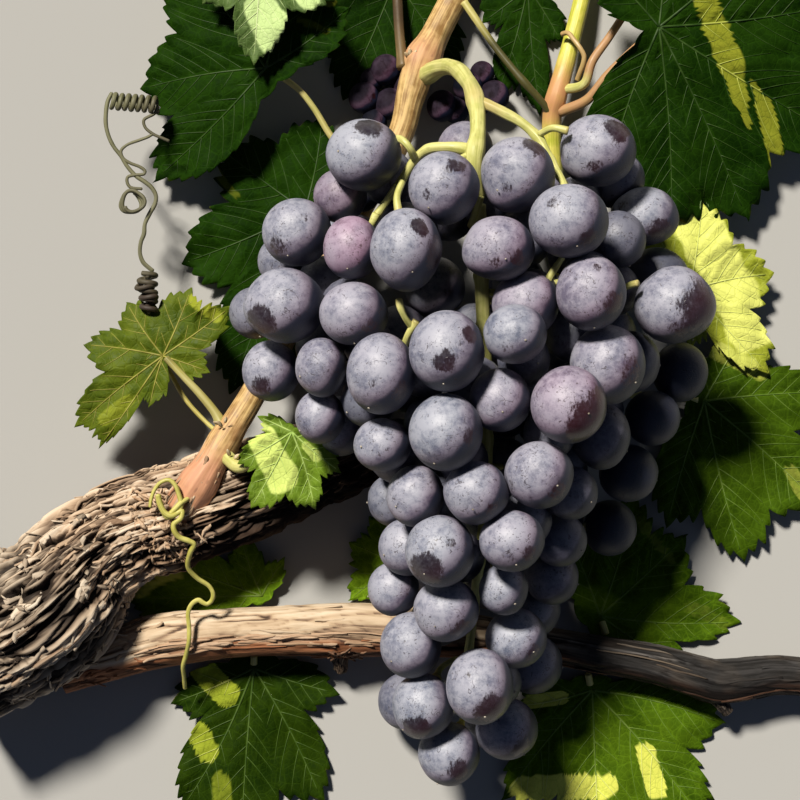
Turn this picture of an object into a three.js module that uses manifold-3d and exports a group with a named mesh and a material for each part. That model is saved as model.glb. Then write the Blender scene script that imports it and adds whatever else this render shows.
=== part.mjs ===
// A cut branch of a grapevine that lies on its back: an old shaggy arm, a woody cane, two green-season
// shoots, leaves, tendrils and one big ripe bunch.  Millimetres, +Z up, floor at z = 0.
// +X is the right-hand side of the branch, +Y is the way its shoots grow.
import * as THREE from 'three';
import { mergeVertices } from 'three/addons/utils/BufferGeometryUtils.js';
import Module from 'manifold-3d';

const wasm = await Module();
wasm.setup();

// ---------------------------------------------------------------- driving sizes
const UNIT = 0.30;          // mm for one unit of the layout sheet (800 units wide) at the height SHEET_Z
const SHEET_Z = 50;         // mm, height of the layout sheet: the middle of the bunch
const EYE = 620;            // mm, the sheet is seen from this far above itself, so nearer things are drawn larger
const CENTRE_X = -7.136, CENTRE_Y = 4.956;   // mm, middle of the whole branch on the sheet
const GAP = 0.32;           // mm, left between touching pieces
const BLADE = 1.2;          // mm, thickness of a leaf blade with its ribs
const LINK = 2;             // mm, radius of the stalks that join berries inside a lobe
const REAR_BERRY = 9.6;     // mm, radius of the berries round the back of the bunch
const BERRY_SQUEEZE = 0.95; // neighbours press together to this share of their summed radii

// scale of the sheet at height z, and a sheet place turned into millimetres
const scaleAt = (z) => UNIT * (EYE - (z - SHEET_Z)) / EYE;
const at = (u, v, z) => new THREE.Vector3((u - 400) * scaleAt(z) - CENTRE_X, (400 - v) * scaleAt(z) - CENTRE_Y, z);

// ---------------------------------------------------------------- solids from geometry
function toSolid(geometry) {
  const g = geometry.clone();
  for (const name of Object.keys(g.attributes)) if (name !== 'position') g.deleteAttribute(name);
  const m = mergeVertices(g, 1e-4);
  return new wasm.Manifold(new wasm.Mesh({
    numProp: 3,
    vertProperties: new Float32Array(m.attributes.position.array),
    triVerts: new Uint32Array(m.index.array),
  }));
}

function toGeometry(solid) {
  const mesh = solid.getMesh();
  const g = new THREE.BufferGeometry();
  const p = new Float32Array(mesh.numVert * 3);
  for (let i = 0; i < mesh.numVert; i++)
    for (let k = 0; k < 3; k++) p[i * 3 + k] = mesh.vertProperties[i * mesh.numProp + k];
  g.setAttribute('position', new THREE.BufferAttribute(p, 3));
  g.setIndex(new THREE.BufferAttribute(new Uint32Array(mesh.triVerts), 1));
  g.computeVertexNormals();
  return g;
}

function closedMesh(points, faces) {
  const g = new THREE.BufferGeometry();
  g.setAttribute('position', new THREE.Float32BufferAttribute(points.flatMap((p) => [p.x, p.y, p.z]), 3));
  g.setIndex(faces.flat());
  const s = toSolid(g);
  return s.volume() < 0 ? toSolid(flipped(g)) : s;
}

function flipped(g) {
  const c = g.clone(), i = c.index.array;
  for (let k = 0; k < i.length; k += 3) [i[k], i[k + 1]] = [i[k + 1], i[k]];
  return c;
}

// ---------------------------------------------------------------- limbs: one tapering tube along a path
// path rows: [sheet u, sheet v, height z in mm, width on the sheet]
function samplePath(path, steps) {
  const pts = path.map(([u, v, z]) => at(u, v, z));
  const rad = path.map(([, , z, w]) => w * 0.5 * scaleAt(z));
  const curve = new THREE.CatmullRomCurve3(pts, false, 'centripetal');
  const out = [];
  for (let i = 0; i <= steps; i++) {
    const t = i / steps, f = t * (path.length - 1), k = Math.min(path.length - 2, Math.floor(f)), e = f - k;
    out.push({ p: curve.getPoint(t), r: rad[k] + (rad[k + 1] - rad[k]) * e, d: curve.getTangent(t) });
  }
  return out;
}

function tube(path, { sides = 8, steps = 12, lump = 0, grow = 0 } = {}) {
  const s = samplePath(path, steps);
  s[0].p.addScaledVector(s[0].d, -grow);
  s[s.length - 1].p.addScaledVector(s[s.length - 1].d, grow);
  let n = new THREE.Vector3(0, 0, 1);
  const points = [], faces = [];
  s.forEach(({ p, r, d }, i) => {
    n = n.clone().addScaledVector(d, -n.dot(d)).normalize();
    const b = new THREE.Vector3().crossVectors(d, n);
    for (let k = 0; k < sides; k++) {
      const a = 2 * Math.PI * k / sides;
      const rr = r * (1 + lump * Math.sin(3 * a + 1.7 * i) * Math.cos(2 * a - 0.9 * i)) + grow;
      points.push(p.clone().addScaledVector(n, rr * Math.cos(a)).addScaledVector(b, rr * Math.sin(a)));
    }
  });
  for (let i = 0; i < s.length - 1; i++)
    for (let k = 0; k < sides; k++) {
      const a = i * sides + k, b = i * sides + (k + 1) % sides;
      faces.push([a, b, b + sides], [a, b + sides, a + sides]);
    }
  const first = points.push(s[0].p.clone()) - 1, last = points.push(s[s.length - 1].p.clone()) - 1;
  for (let k = 0; k < sides; k++) {
    faces.push([first, (k + 1) % sides, k]);
    faces.push([last, (s.length - 1) * sides + k, (s.length - 1) * sides + (k + 1) % sides]);
  }
  return closedMesh(points, faces);
}

// ---------------------------------------------------------------- leaves: one thin lobed blade
// at: where the blade meets its stalk [u, v, z]; tips: the lobes' tips on the sheet, going round;
// slope: rise in mm for 100 sheet units along u and along v; droop: mm that the rim hangs below the middle
function leafHeight({ at: [ju, jv, jz], slope = [0, 0], droop = 3, wave = 0.8, size }, u, v) {
  const du = (u - ju) / 100, dv = (v - jv) / 100, q = Math.hypot(du, dv) * 100 / size;
  const z = jz + slope[0] * du + slope[1] * dv - droop * q * q + wave * q * Math.sin(3 * Math.atan2(dv, du) + ju);
  return Math.max(z, BLADE / 2);
}

function leafRim(leaf, perHalf = 2) {
  const [ju, jv] = leaf.at, n = leaf.tips.length, sinus = leaf.sinus ?? 0.8;
  const pol = leaf.tips.map(([u, v]) => ({ a: Math.atan2(v - jv, u - ju), r: Math.hypot(u - ju, v - jv) })).sort((p, q) => p.a - q.a);
  const gaps = pol.map((p, i) => (i ? p.a - pol[i - 1].a : p.a + 2 * Math.PI - pol[n - 1].a));
  for (let k = gaps.indexOf(Math.max(...gaps)); k > 0; k--) pol.push({ a: pol[0].a + 2 * Math.PI, r: pol.shift().r });
  const rim = [];
  const lobe = (t, tip, floor) => floor + (tip - floor) * (0.4 * (1 - t) + 0.6 * (1 - t * t));
  for (let i = 0; i < n; i++) {
    const here = pol[i], last = i === n - 1;
    const next = last ? { a: pol[0].a + 2 * Math.PI, r: pol[0].r } : pol[i + 1];
    const gap = next.a - here.a, half = last ? Math.min(gap / 2, 0.62) : gap / 2;
    const floor = (last ? 0.34 : 1 - (1 - sinus) * Math.min(1, gap / 0.9)) * Math.min(here.r, next.r);
    for (let k = 0; k < perHalf; k++) rim.push({ a: here.a + half * k / perHalf, r: lobe(k / perHalf, here.r, floor) });
    if (last && gap / 2 > half) rim.push({ a: here.a + half, r: floor }, { a: here.a + gap / 2, r: floor * 0.55 }, { a: next.a - half, r: floor });
    else rim.push({ a: here.a + half, r: floor });
    for (let k = perHalf - 1; k > 0; k--) rim.push({ a: next.a - half * k / perHalf, r: lobe(k / perHalf, next.r, floor) });
  }
  return rim;
}

function blade(leaf, grow = 0) {
  const [ju, jv] = leaf.at, rim = leafRim(leaf, leaf.droop < 2 ? 1 : 2), n = rim.length;
  const size = Math.max(...leaf.tips.map(([u, v]) => Math.hypot(u - ju, v - jv)));
  const f = { ...leaf, size }, points = [], faces = [], rings = leaf.droop < 4 ? [1] : [0.55, 1];
  for (const side of [1, -1]) {
    points.push(at(ju, jv, leafHeight(f, ju, jv) + side * (BLADE / 2 + grow)));
    for (const share of rings)
      for (const { a, r } of rim) {
        const rr = (r + grow / UNIT) * share, u = ju + rr * Math.cos(a), v = jv + rr * Math.sin(a);
        points.push(at(u, v, leafHeight(f, u, v) + side * (BLADE / 2 + grow)));
      }
  }
  const half = 1 + rings.length * n;
  for (let k = 0; k < n; k++) {
    const k2 = (k + 1) % n;
    for (const o of [0, half]) {
      const tri = [[o, o + 1 + k, o + 1 + k2]];
      if (rings.length > 1) tri.push([o + 1 + k, o + 1 + n + k, o + 1 + n + k2], [o + 1 + k, o + 1 + n + k2, o + 1 + k2]);
      for (const t of tri) faces.push(o ? [t[0], t[2], t[1]] : t);
    }
    const a = half - n + k, b = half - n + k2;
    faces.push([a, a + half, b + half], [a, b + half, b]);
  }
  return closedMesh(points, faces);
}

// ---------------------------------------------------------------- the bunch
// Its section at sheet row v: middle u, half width w (sheet units), height z of its axis and half thickness h (mm)
const SECTIONS = [
  { v: 100, u: 480, w: 60, z: 55, h: 15 }, { v: 150, u: 480, w: 155, z: 52, h: 34 }, { v: 220, u: 470, w: 205, z: 50, h: 41 },
  { v: 300, u: 473, w: 240, z: 49, h: 43 }, { v: 370, u: 475, w: 232, z: 49, h: 42 }, { v: 430, u: 478, w: 200, z: 48, h: 40 },
  { v: 500, u: 500, w: 150, z: 47, h: 37 }, { v: 560, u: 480, w: 118, z: 44, h: 33 }, { v: 620, u: 467, w: 98, z: 40, h: 27 },
  { v: 680, u: 468, w: 95, z: 32, h: 25 }, { v: 740, u: 465, w: 72, z: 25, h: 21 }, { v: 785, u: 455, w: 35, z: 20, h: 12 },
];
function section(v) {
  let k = 0;
  while (k < SECTIONS.length - 2 && SECTIONS[k + 1].v < v) k++;
  const a = SECTIONS[k], b = SECTIONS[k + 1], t = Math.min(1, Math.max(0, (v - a.v) / (b.v - a.v)));
  return { u: a.u + (b.u - a.u) * t, w: a.w + (b.w - a.w) * t, z: a.z + (b.z - a.z) * t, h: a.h + (b.h - a.h) * t };
}

// The berries of the front, each [u, v, half width, half height (sheet units), mm it stands proud of the bunch's round]
const LOBES = {
  left_shoulder: [[364, 155, 38, 36, 5], [340, 196, 27, 27, -16], [297, 232, 35, 34, 3], [283, 261, 26, 26, -22], [284, 306, 41, 38, 4], [255, 313, 26, 26, -22]],
  left_crown: [[352, 248, 29, 32, -2], [354, 314, 35, 32, -1], [406, 250, 36, 42, 8], [444, 188, 36, 37, 4]],
  centre_crown: [[498, 249, 37, 33, 0], [526, 304, 34, 33, -7], [515, 334, 32, 30, 7], [465, 149, 28, 28, -20], [517, 176, 38, 39, 1]],
  right_shoulder: [[597, 151, 39, 36, 5], [569, 221, 40, 37, 10], [645, 217, 35, 30, -6], [616, 180, 29, 29, -22]],
  right_flank: [[591, 293, 35, 38, 6], [675, 305, 41, 39, 10], [656, 281, 34, 34, -26], [608, 365, 38, 40, 0], [628, 362, 32, 32, -20], [680, 372, 28, 30, -16]],
  left_flank: [[271, 371, 29, 31, 0], [321, 368, 26, 30, -4], [381, 374, 35, 41, 5], [320, 417, 25, 27, -6], [382, 445, 29, 27, 0]],
  middle: [[447, 351, 38, 41, 9], [446, 432, 37, 39, 8], [500, 400, 31, 32, -2], [569, 405, 38, 39, 11]],
  lower_middle: [[539, 475, 35, 34, 4], [476, 493, 33, 32, 5], [512, 541, 33, 31, 7], [524, 520, 28, 28, -12]],
  right_lower: [[652, 418, 28, 28, -16], [601, 436, 29, 34, -10], [628, 473, 30, 29, -16], [571, 493, 27, 27, -10], [610, 528, 27, 28, -18], [560, 540, 27, 27, -12], [552, 577, 27, 28, -12]],
  left_lower: [[415, 496, 29, 31, -2], [394, 500, 27, 27, -21], [407, 547, 29, 29, -11], [440, 551, 35, 36, 8], [393, 589, 26, 27, -6]],
  waist: [[504, 590, 25, 26, -2], [446, 610, 33, 32, 3], [411, 645, 31, 33, 0], [516, 638, 31, 30, -2], [533, 664, 30, 30, -12], [534, 610, 27, 27, -20]],
  tail: [[480, 687, 34, 38, 11], [423, 706, 31, 33, 4], [407, 701, 29, 29, -16], [507, 729, 31, 31, 0], [449, 754, 31, 32, 0]],
};
function frontBerry([u, v, a, b, proud]) {
  const s = section(v), r = Math.sqrt(a * b), t = Math.min(1, Math.abs(u - s.u) / Math.max(1, s.w - r));
  const z = Math.round(s.z + (s.h - r * UNIT) * Math.sqrt(1 - t * t) + proud), k = scaleAt(z);
  return { p: at(u, v, Math.max(z, r * k + 0.6)), a: a * k, b: b * k, c: r * k };
}

const FOLLOW = 0.86;        // the back of the bunch is this much narrower than its front
const REAR_ROWS = { first: 196, last: 750, step: 46 };   // sheet rows of berries round the back
function rearBerries(front, limbs) {
  const kept = [];
  for (let v = REAR_ROWS.first, row = 0; v <= REAR_ROWS.last; v += REAR_ROWS.step, row++) {
    const s = section(v), w = s.w * FOLLOW - REAR_BERRY / UNIT, h = s.h - REAR_BERRY;
    const n = Math.max(2, Math.round(Math.PI * (w * UNIT + h) / 2 / (REAR_BERRY * 1.9)));
    for (let i = 0; i <= n; i++) {
      const a = Math.PI * (0.5 + (i + (row % 2) * 0.5) / n);
      const p = at(s.u + w * Math.sin(a), v, Math.max(REAR_BERRY + 0.6, s.z + h * Math.cos(a)));
      const r = REAR_BERRY * (1 - 0.08 * Math.abs(Math.sin(5 * a + row)));
      const clear = (q, rq, share) => p.distanceTo(q) >= (r + rq) * share;
      if (front.every((f) => clear(f.p, f.c, 1.01)) && kept.every((f) => clear(f.p, f.c, BERRY_SQUEEZE)) &&
          limbs.every((l) => clear(l.p, l.r, 1.02))) kept.push({ p, a: r, b: r, c: r, v });
    }
  }
  return kept;
}

function berry({ p, a, b, c }, grow) {
  const g = new THREE.OctahedronGeometry(1, 1).rotateX(0.6).rotateY(0.5);
  g.scale(a * 1.05 + grow, b * 1.05 + grow, c * 1.05 + grow);
  g.translate(p.x, p.y, p.z);
  return toSolid(g);
}

function rod(a, b, r) {
  const d = b.clone().sub(a).normalize(), n = new THREE.Vector3(0.3, 0.2, 1).cross(d).normalize(), m = new THREE.Vector3().crossVectors(d, n);
  const points = [];
  for (const q of [a, b]) for (let k = 0; k < 3; k++) {
    const w = 2 * Math.PI * k / 3;
    points.push(q.clone().addScaledVector(n, r * Math.cos(w)).addScaledVector(m, r * Math.sin(w)));
  }
  return closedMesh(points, [[0, 2, 1], [3, 4, 5], [0, 1, 4], [0, 4, 3], [1, 2, 5], [1, 5, 4], [2, 0, 3], [2, 3, 5]]);
}

// a lobe of the bunch: berries pressed together, or joined to the nearest by a short stalk
function lobe(berries, grow = 0, link = LINK) {
  const joined = [berries[0]], rest = berries.slice(1);
  let s = berry(berries[0], grow);
  while (rest.length) {
    let best = null;
    for (const a of joined) for (const b of rest) {
      const room = a.p.distanceTo(b.p) / (a.c + b.c);
      if (!best || room < best.room) best = { a, b, room };
    }
    rest.splice(rest.indexOf(best.b), 1);
    joined.push(best.b);
    s = s.add(berry(best.b, grow));
    if (best.room > 0.9) s = s.add(rod(best.a.p, best.b.p, link + grow));
  }
  return s;
}

// ---------------------------------------------------------------- limb paths
const ARM = [[-66, 668, 24.6, 150], [0, 634, 24.4, 148], [48, 604, 24, 146], [92, 556, 20, 116], [134, 530, 17.5, 104], [196, 511, 17, 102], [262, 486, 16.5, 94], [330, 458, 16, 82], [392, 432, 15, 72]];
const CANE = [[60, 672, 14, 44], [103, 658, 13, 47], [155, 642, 12.5, 54], [224, 634, 12.5, 50], [290, 631, 12.5, 50], [352, 630, 12.5, 54], [460, 635, 12, 44], [551, 645, 11.5, 34], [600, 654, 11.5, 36], [652, 664, 11.5, 38], [696, 676, 11.5, 42], [718, 683, 11.5, 54], [736, 680, 11.5, 44], [776, 675, 11.5, 38], [834, 680, 11.5, 37]];
const STUB = [[338, 650, 11, 26], [340, 662, 9, 20], [342, 672, 8, 15]];
const SHOOT = [[188, 500, 29, 40], [203, 477, 30, 34], [224, 441, 28, 29], [250, 399, 24.5, 26], [300, 308, 18, 26], [352, 222, 15, 25], [388, 160, 13.8, 25], [403, 127, 14, 26], [411, 94, 14, 26], [420, 66, 13.5, 33], [437, 31, 10, 27], [453, 0, 7.2, 28], [470, -34, 4.7, 29]];
const SECOND = [[540, 640, 12, 15], [548, 600, 9, 15], [556, 560, 7, 14], [572, 500, 5, 15], [580, 440, 4.6, 16], [576, 340, 4.6, 18], [556, 210, 6, 20], [552, 117, 10, 22], [557, 90, 12, 24], [564, 66, 12, 18], [573, 31, 10, 16], [580, 0, 8, 14], [589, -40, 5, 13]];
const THIN = [[548, 110, 16, 9], [523, 81, 15, 9], [496, 48, 13, 8], [464, 2, 10.5, 8]];
const PEDUNCLE = [[420, 70, 18, 17], [437, 64, 25, 17], [456, 61, 35, 17], [470, 73, 48, 17], [478, 96, 58, 18], [478, 130, 65, 18], [474, 160, 69, 18], [478, 196, 64, 15]];
const RACHIS = [[479, 205, 61, 14], [482, 290, 52, 14], [486, 390, 49, 13], [486, 490, 47, 11], [476, 590, 43, 10], [468, 660, 35, 8], [464, 715, 28, 6]];
const WING_RIGHT = [[486, 104, 60, 13], [506, 114, 61, 12], [523, 124, 62, 12], [538, 138, 63, 11], [549, 157, 66, 10], [560, 178, 71, 9]];
const WING_LEFT = [[468, 151, 68, 13], [450, 147, 67, 11], [428, 149, 65, 11], [416, 158, 64, 10], [400, 184, 63, 9], [376, 214, 62, 8]];

// leaves: where the blade joins its stalk, the lobes' tips going round, and how the blade lies
const LEAVES = {
  upper_left_leaf: { at: [266, 68, 21], tips: [[158, 177], [145, 88], [178, -46], [296, -54], [346, 10]], slope: [7, -1], droop: 5, colour: 'dark' },
  top_left_leaf: { at: [262, -54, 30], tips: [[324, 4], [254, 60], [206, 2], [186, -76], [246, -122]], slope: [2, 2], droop: 4, colour: 'light' },
  left_back_leaf: { at: [305, 211, 7], tips: [[330, 372], [232, 388], [186, 262], [226, 153], [322, 120]], slope: [1, -1], droop: 3, colour: 'dark' },
  top_leaf: { at: [396, -22, 1.5], tips: [[345, 94], [304, 0], [366, -100], [452, -84], [458, 60]], slope: [0, 0], droop: 0.6, colour: 'dark' },
  upper_right_leaf: { at: [659, 27, 24], tips: [[592, -38], [672, -98], [775, -84], [842, 4], [824, 130], [745, 214], [672, 226], [604, 190]], slope: [-5, -3], droop: 6, colour: 'dark' },
  right_bright_leaf: { at: [690, 290, 11], tips: [[640, 215], [702, 206], [769, 274], [764, 370], [692, 344]], slope: [-2, 0], droop: 3, colour: 'light' },
  right_leaf: { at: [704, 401, 7], tips: [[742, 336], [822, 392], [815, 500], [742, 556], [668, 520]], slope: [-2, 0], droop: 3.5, colour: 'dark' },
  lower_right_leaf: { at: [600, 616, 3.4], tips: [[560, 520], [634, 500], [682, 540], [734, 622], [676, 668]], slope: [0, 0], droop: 2.4, colour: 'dark' },
  bottom_right_leaf: { at: [592, 690, 2.8], tips: [[720, 722], [704, 822], [600, 866], [506, 794], [520, 706]], slope: [0, 0], droop: 2, colour: 'light' },
  bottom_left_leaf: { at: [254, 668, 2.8], tips: [[332, 692], [320, 796], [240, 872], [184, 806], [176, 702]], slope: [0, 0], droop: 2, colour: 'dark' },
  inner_left_leaf: { at: [262, 596, 2.6], tips: [[130, 600], [150, 556], [242, 540], [282, 562]], slope: [0, 0], droop: 1.8, colour: 'dark' },
  inner_leaf: { at: [398, 566, 3], tips: [[386, 606], [352, 598], [352, 544], [376, 512], [430, 520]], slope: [0, 0], droop: 1.2, colour: 'dark' },
  left_leaf: { at: [163, 356, 24], tips: [[150, 404], [102, 444], [79, 424], [88, 345], [128, 305], [190, 292], [228, 309], [207, 371]], slope: [4, 1], droop: 5, colour: 'olive' },
  young_leaf: { at: [292, 432, 44], tips: [[338, 470], [314, 506], [252, 506], [240, 462], [262, 418]], slope: [2, -3], droop: 3, colour: 'young' },
  crown_leaf: { at: [528, -12, 3], tips: [[500, 88], [540, 110], [560, 40], [560, -70], [496, -76], [486, 20]], slope: [0, 0], droop: 1.6, colour: 'dark' },
};

// leaf stalks
const STALKS = {
  upper_left_stalk: [[272, 70, 20.5, 7], [299, 90, 19, 6], [313, 107, 18, 6], [338, 145, 16, 7], [374, 170, 14, 8]],
  top_left_stalk: [[268, -58, 29.5, 7], [330, -66, 24, 7], [400, -58, 14, 8], [460, -28, 9, 9]],
  left_back_stalk: [[309, 208, 8, 7], [335, 200, 9.5, 7], [362, 190, 11, 8]],
  red_stalk: [[403, 68, 15, 11], [400, 40, 12, 10], [398, 10, 8, 10], [397, -18, 4.6, 10]],
  upper_right_stalk: [[569, 116, 14, 12], [587, 100, 17, 10], [607, 76, 20, 9], [633, 50, 22.5, 8], [655, 31, 23.8, 8]],
  side_stalk: [[568, 92, 16, 11], [584, 84, 18, 9], [592, 62, 19, 9], [610, 36, 18, 8], [634, -4, 15, 8], [650, -60, 10, 7]],
  right_bright_stalk: [[684, 292, 11.5, 7], [640, 302, 9, 7], [584, 312, 5, 8]],
  right_stalk: [[698, 400, 7.5, 7], [650, 396, 6, 7], [598, 392, 5, 8]],
  lower_right_stalk: [[602, 622, 4.4, 7], [606, 634, 6, 7]],
  bottom_right_stalk: [[590, 684, 4, 7], [588, 674, 6, 7]],
  bottom_left_stalk: [[254, 664, 4, 7], [254, 656, 5, 7]],
  left_stalk: [[166, 358, 24.5, 7], [183, 376, 25.5, 7], [200, 394, 26.5, 8], [216, 414, 27, 9], [224, 430, 27.5, 11]],
  young_stalk: [[228, 458, 32, 15], [240, 467, 36, 13], [262, 452, 40, 7], [288, 434, 44, 7]],
};

// tendrils, each a thin strand
const STRAND = 5.2;         // sheet units across
const TENDRIL_LOW = [[149, 531, 36], [152, 507, 37], [156, 487, 37], [167, 480, 37], [178, 489, 37], [181, 503, 36], [172, 516, 37], [174, 531, 36.5], [190, 541, 36], [192, 550, 34], [188, 567, 30], [203, 583, 26], [211, 598, 24.5], [201, 600, 24], [191, 610, 24], [189, 640, 23.5], [184, 668, 18], [185, 690, 10]];
const TENDRIL_TOP = [[222, 436, 20], [186, 400, 16], [158, 350, 16], [148, 316, 22], [140, 300, 26], [151, 288, 26], [147, 272, 25], [141, 250, 24], [146, 222, 23], [156, 200, 22], [148, 185, 22], [127, 166, 22], [110, 140, 22], [106, 115, 22], [110, 100, 23], [134, 103, 24], [158, 106, 23], [150, 118, 22], [144, 126, 22], [168, 141, 21]];
const CURL = { at: [130, 204, 22], r: 10 };

// ---------------------------------------------------------------- build, in order; each piece is cut clear of those before it
const COLOURS = {
  bark: [0x8a7360, 0.95], cane: [0xb08c68, 0.9], shoot: [0xb9793f, 0.7], green: [0xb9bf55, 0.6], red: [0x9c5a3c, 0.6],
  berry: [0x4b4a66, 0.5], dark: [0x2f5a1c, 0.6], light: [0xa3bf3d, 0.6], olive: [0x7f9630, 0.6], young: [0xa9d052, 0.6], tendril: [0xb3a23f, 0.6],
};
const branch = new THREE.Group();
branch.name = 'grapevine_branch';
const done = [];
function put(name, make, colour) {
  let s = make(0);
  const box = (m) => { const b = m.boundingBox(); return new THREE.Box3(new THREE.Vector3(...b.min), new THREE.Vector3(...b.max)); };
  const mine = box(s);
  for (const d of done) if (d.box.intersectsBox(mine)) s = s.subtract(d.grown);
  const parts = s.decompose();
  s = parts.reduce((a, b) => (b.volume() > a.volume() ? b : a));
  const grown = make(GAP);
  done.push({ name, grown, box: box(grown) });
  const [hex, roughness] = COLOURS[colour];
  const mesh = new THREE.Mesh(toGeometry(s), new THREE.MeshStandardMaterial({ color: hex, roughness, metalness: 0, flatShading: true }));
  mesh.name = name;
  branch.add(mesh);
}

put('old_arm', (g) => tube(ARM, { sides: 10, steps: 12, lump: 0.05, grow: g }), 'bark');
put('lower_cane', (g) => tube(CANE, { sides: 7, steps: 18, lump: 0.03, grow: g }), 'cane');
put('cane_stub', (g) => tube(STUB, { sides: 7, steps: 2, grow: g }), 'cane');
put('fruiting_shoot', (g) => tube(SHOOT, { sides: 6, steps: 15, grow: g }), 'shoot');
put('second_shoot', (g) => tube(SECOND, { sides: 6, steps: 13, grow: g }), 'shoot');
put('thin_shoot', (g) => tube(THIN, { sides: 5, steps: 4, grow: g }), 'shoot');
put('peduncle', (g) => tube(PEDUNCLE, { sides: 6, steps: 11, grow: g }), 'green');
put('rachis', (g) => tube(RACHIS, { sides: 5, steps: 7, grow: g }), 'green');
put('right_wing_stem', (g) => tube(WING_RIGHT, { sides: 5, steps: 6, grow: g }), 'green');
put('left_wing_stem', (g) => tube(WING_LEFT, { sides: 5, steps: 6, grow: g }), 'green');

const front = Object.values(LOBES).flat().map(frontBerry);
const limbs = [ARM, CANE, SHOOT, SECOND].flatMap((path) => samplePath(path, 60));
for (const [name, rows] of Object.entries(LOBES)) {
  const berries = rows.map(frontBerry);
  put(name, (g) => lobe(berries, g), 'berry');
}
const rear = rearBerries(front, limbs);
const REAR = { rear_left: (b) => b.v < 420 && b.p.x < 20, rear_right: (b) => b.v < 420 && b.p.x >= 20, rear_waist: (b) => b.v >= 420 && b.v < 610, rear_tail: (b) => b.v >= 610 };
for (const [name, test] of Object.entries(REAR)) {
  const berries = rear.filter(test);
  if (berries.length) put(name, (g) => lobe(berries, g), 'berry');
}
// a second, small and unripe cluster behind the shoot, near its upper node
const SMALL = [[364, 98], [386, 70], [390, 104], [442, 106], [468, 86], [494, 96]];
put('small_cluster', (g) => lobe(SMALL.map(([u, v], i) => ({ p: at(u, v, 7 + 0.5 * (i % 2)), a: 4.7, b: 4.9, c: 4.3 })), g, 1.5), 'berry');

for (const [name, path] of Object.entries(STALKS)) put(name, (g) => tube(path, { sides: 4, steps: path.length - 1, grow: g }), name === 'red_stalk' ? 'red' : 'green');
for (const [name, leaf] of Object.entries(LEAVES)) put(name, (g) => blade(leaf, g), leaf.colour);
const strand = (rows) => rows.map(([u, v, z]) => [u, v, z, STRAND]);
put('lower_tendril', (g) => tube(strand(TENDRIL_LOW), { sides: 4, steps: 34, grow: g }), 'tendril');
put('upper_tendril', (g) => tube(strand(TENDRIL_TOP), { sides: 4, steps: 38, grow: g }), 'tendril');

export default branch;
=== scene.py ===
import math

import bmesh
import bpy
import numpy as np
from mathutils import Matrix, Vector
from mathutils.bvhtree import BVHTree


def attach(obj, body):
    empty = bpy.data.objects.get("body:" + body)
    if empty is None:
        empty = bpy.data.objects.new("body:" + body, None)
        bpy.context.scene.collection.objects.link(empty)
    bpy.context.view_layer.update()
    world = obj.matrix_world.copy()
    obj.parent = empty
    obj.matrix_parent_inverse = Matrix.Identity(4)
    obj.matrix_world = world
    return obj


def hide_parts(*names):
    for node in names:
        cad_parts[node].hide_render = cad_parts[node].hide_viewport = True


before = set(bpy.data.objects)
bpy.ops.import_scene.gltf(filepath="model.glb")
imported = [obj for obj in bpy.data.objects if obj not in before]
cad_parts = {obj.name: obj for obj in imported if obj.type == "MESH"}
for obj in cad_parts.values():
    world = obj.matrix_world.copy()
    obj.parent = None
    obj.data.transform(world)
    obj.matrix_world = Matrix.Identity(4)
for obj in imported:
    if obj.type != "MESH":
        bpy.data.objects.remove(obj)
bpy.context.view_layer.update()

# ------------------------------------------------------------------ the layout sheet, as in the CAD (millimetres)
UNIT, SHEET_Z, EYE = 0.30, 50.0, 620.0
CENTRE_X, CENTRE_Y = -7.136, 4.956


def scale_at(z):
    return UNIT * (EYE - (z - SHEET_Z)) / EYE


def at(u, v, z):
    u, v, z = np.broadcast_arrays(np.asarray(u, float), np.asarray(v, float), np.asarray(z, float))
    k = scale_at(z)
    return np.stack([(u - 400) * k - CENTRE_X, (400 - v) * k - CENTRE_Y, z], -1)


# ------------------------------------------------------------------ noise
def _hash(x, y, z, seed):
    with np.errstate(over="ignore"):
        h = (x.astype(np.uint32) * np.uint32(374761393) + y.astype(np.uint32) * np.uint32(668265263)
             + z.astype(np.uint32) * np.uint32(2246822519) + np.uint32((seed * 3266489917 + 374761) & 0xFFFFFFFF))
        h = (h ^ (h >> np.uint32(13))) * np.uint32(1274126177)
        h = (h ^ (h >> np.uint32(15))) * np.uint32(2654435761)
        h = h ^ (h >> np.uint32(16))
    return h.astype(np.float64) / 4294967296.0


def noise(p, seed=0):
    """Smooth value noise from -1 to 1 at the points p (..., 3)."""
    p = np.asarray(p, float)
    i = np.floor(p)
    f = p - i
    f = f * f * f * (f * (f * 6 - 15) + 10)
    i = i.astype(np.int64)
    out = 0
    for dx in (0, 1):
        for dy in (0, 1):
            for dz in (0, 1):
                w = ((f[..., 0] if dx else 1 - f[..., 0]) * (f[..., 1] if dy else 1 - f[..., 1])
                     * (f[..., 2] if dz else 1 - f[..., 2]))
                out = out + w * _hash(i[..., 0] + dx, i[..., 1] + dy, i[..., 2] + dz, seed)
    return out * 2 - 1


def fbm(p, octaves=4, seed=0, gain=0.5):
    p = np.asarray(p, float)
    out, amp, total = 0, 1.0, 0.0
    for o in range(octaves):
        out = out + amp * noise(p * 2 ** o + 17.3 * o, seed + o)
        total += amp
        amp *= gain
    return out / total


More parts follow.
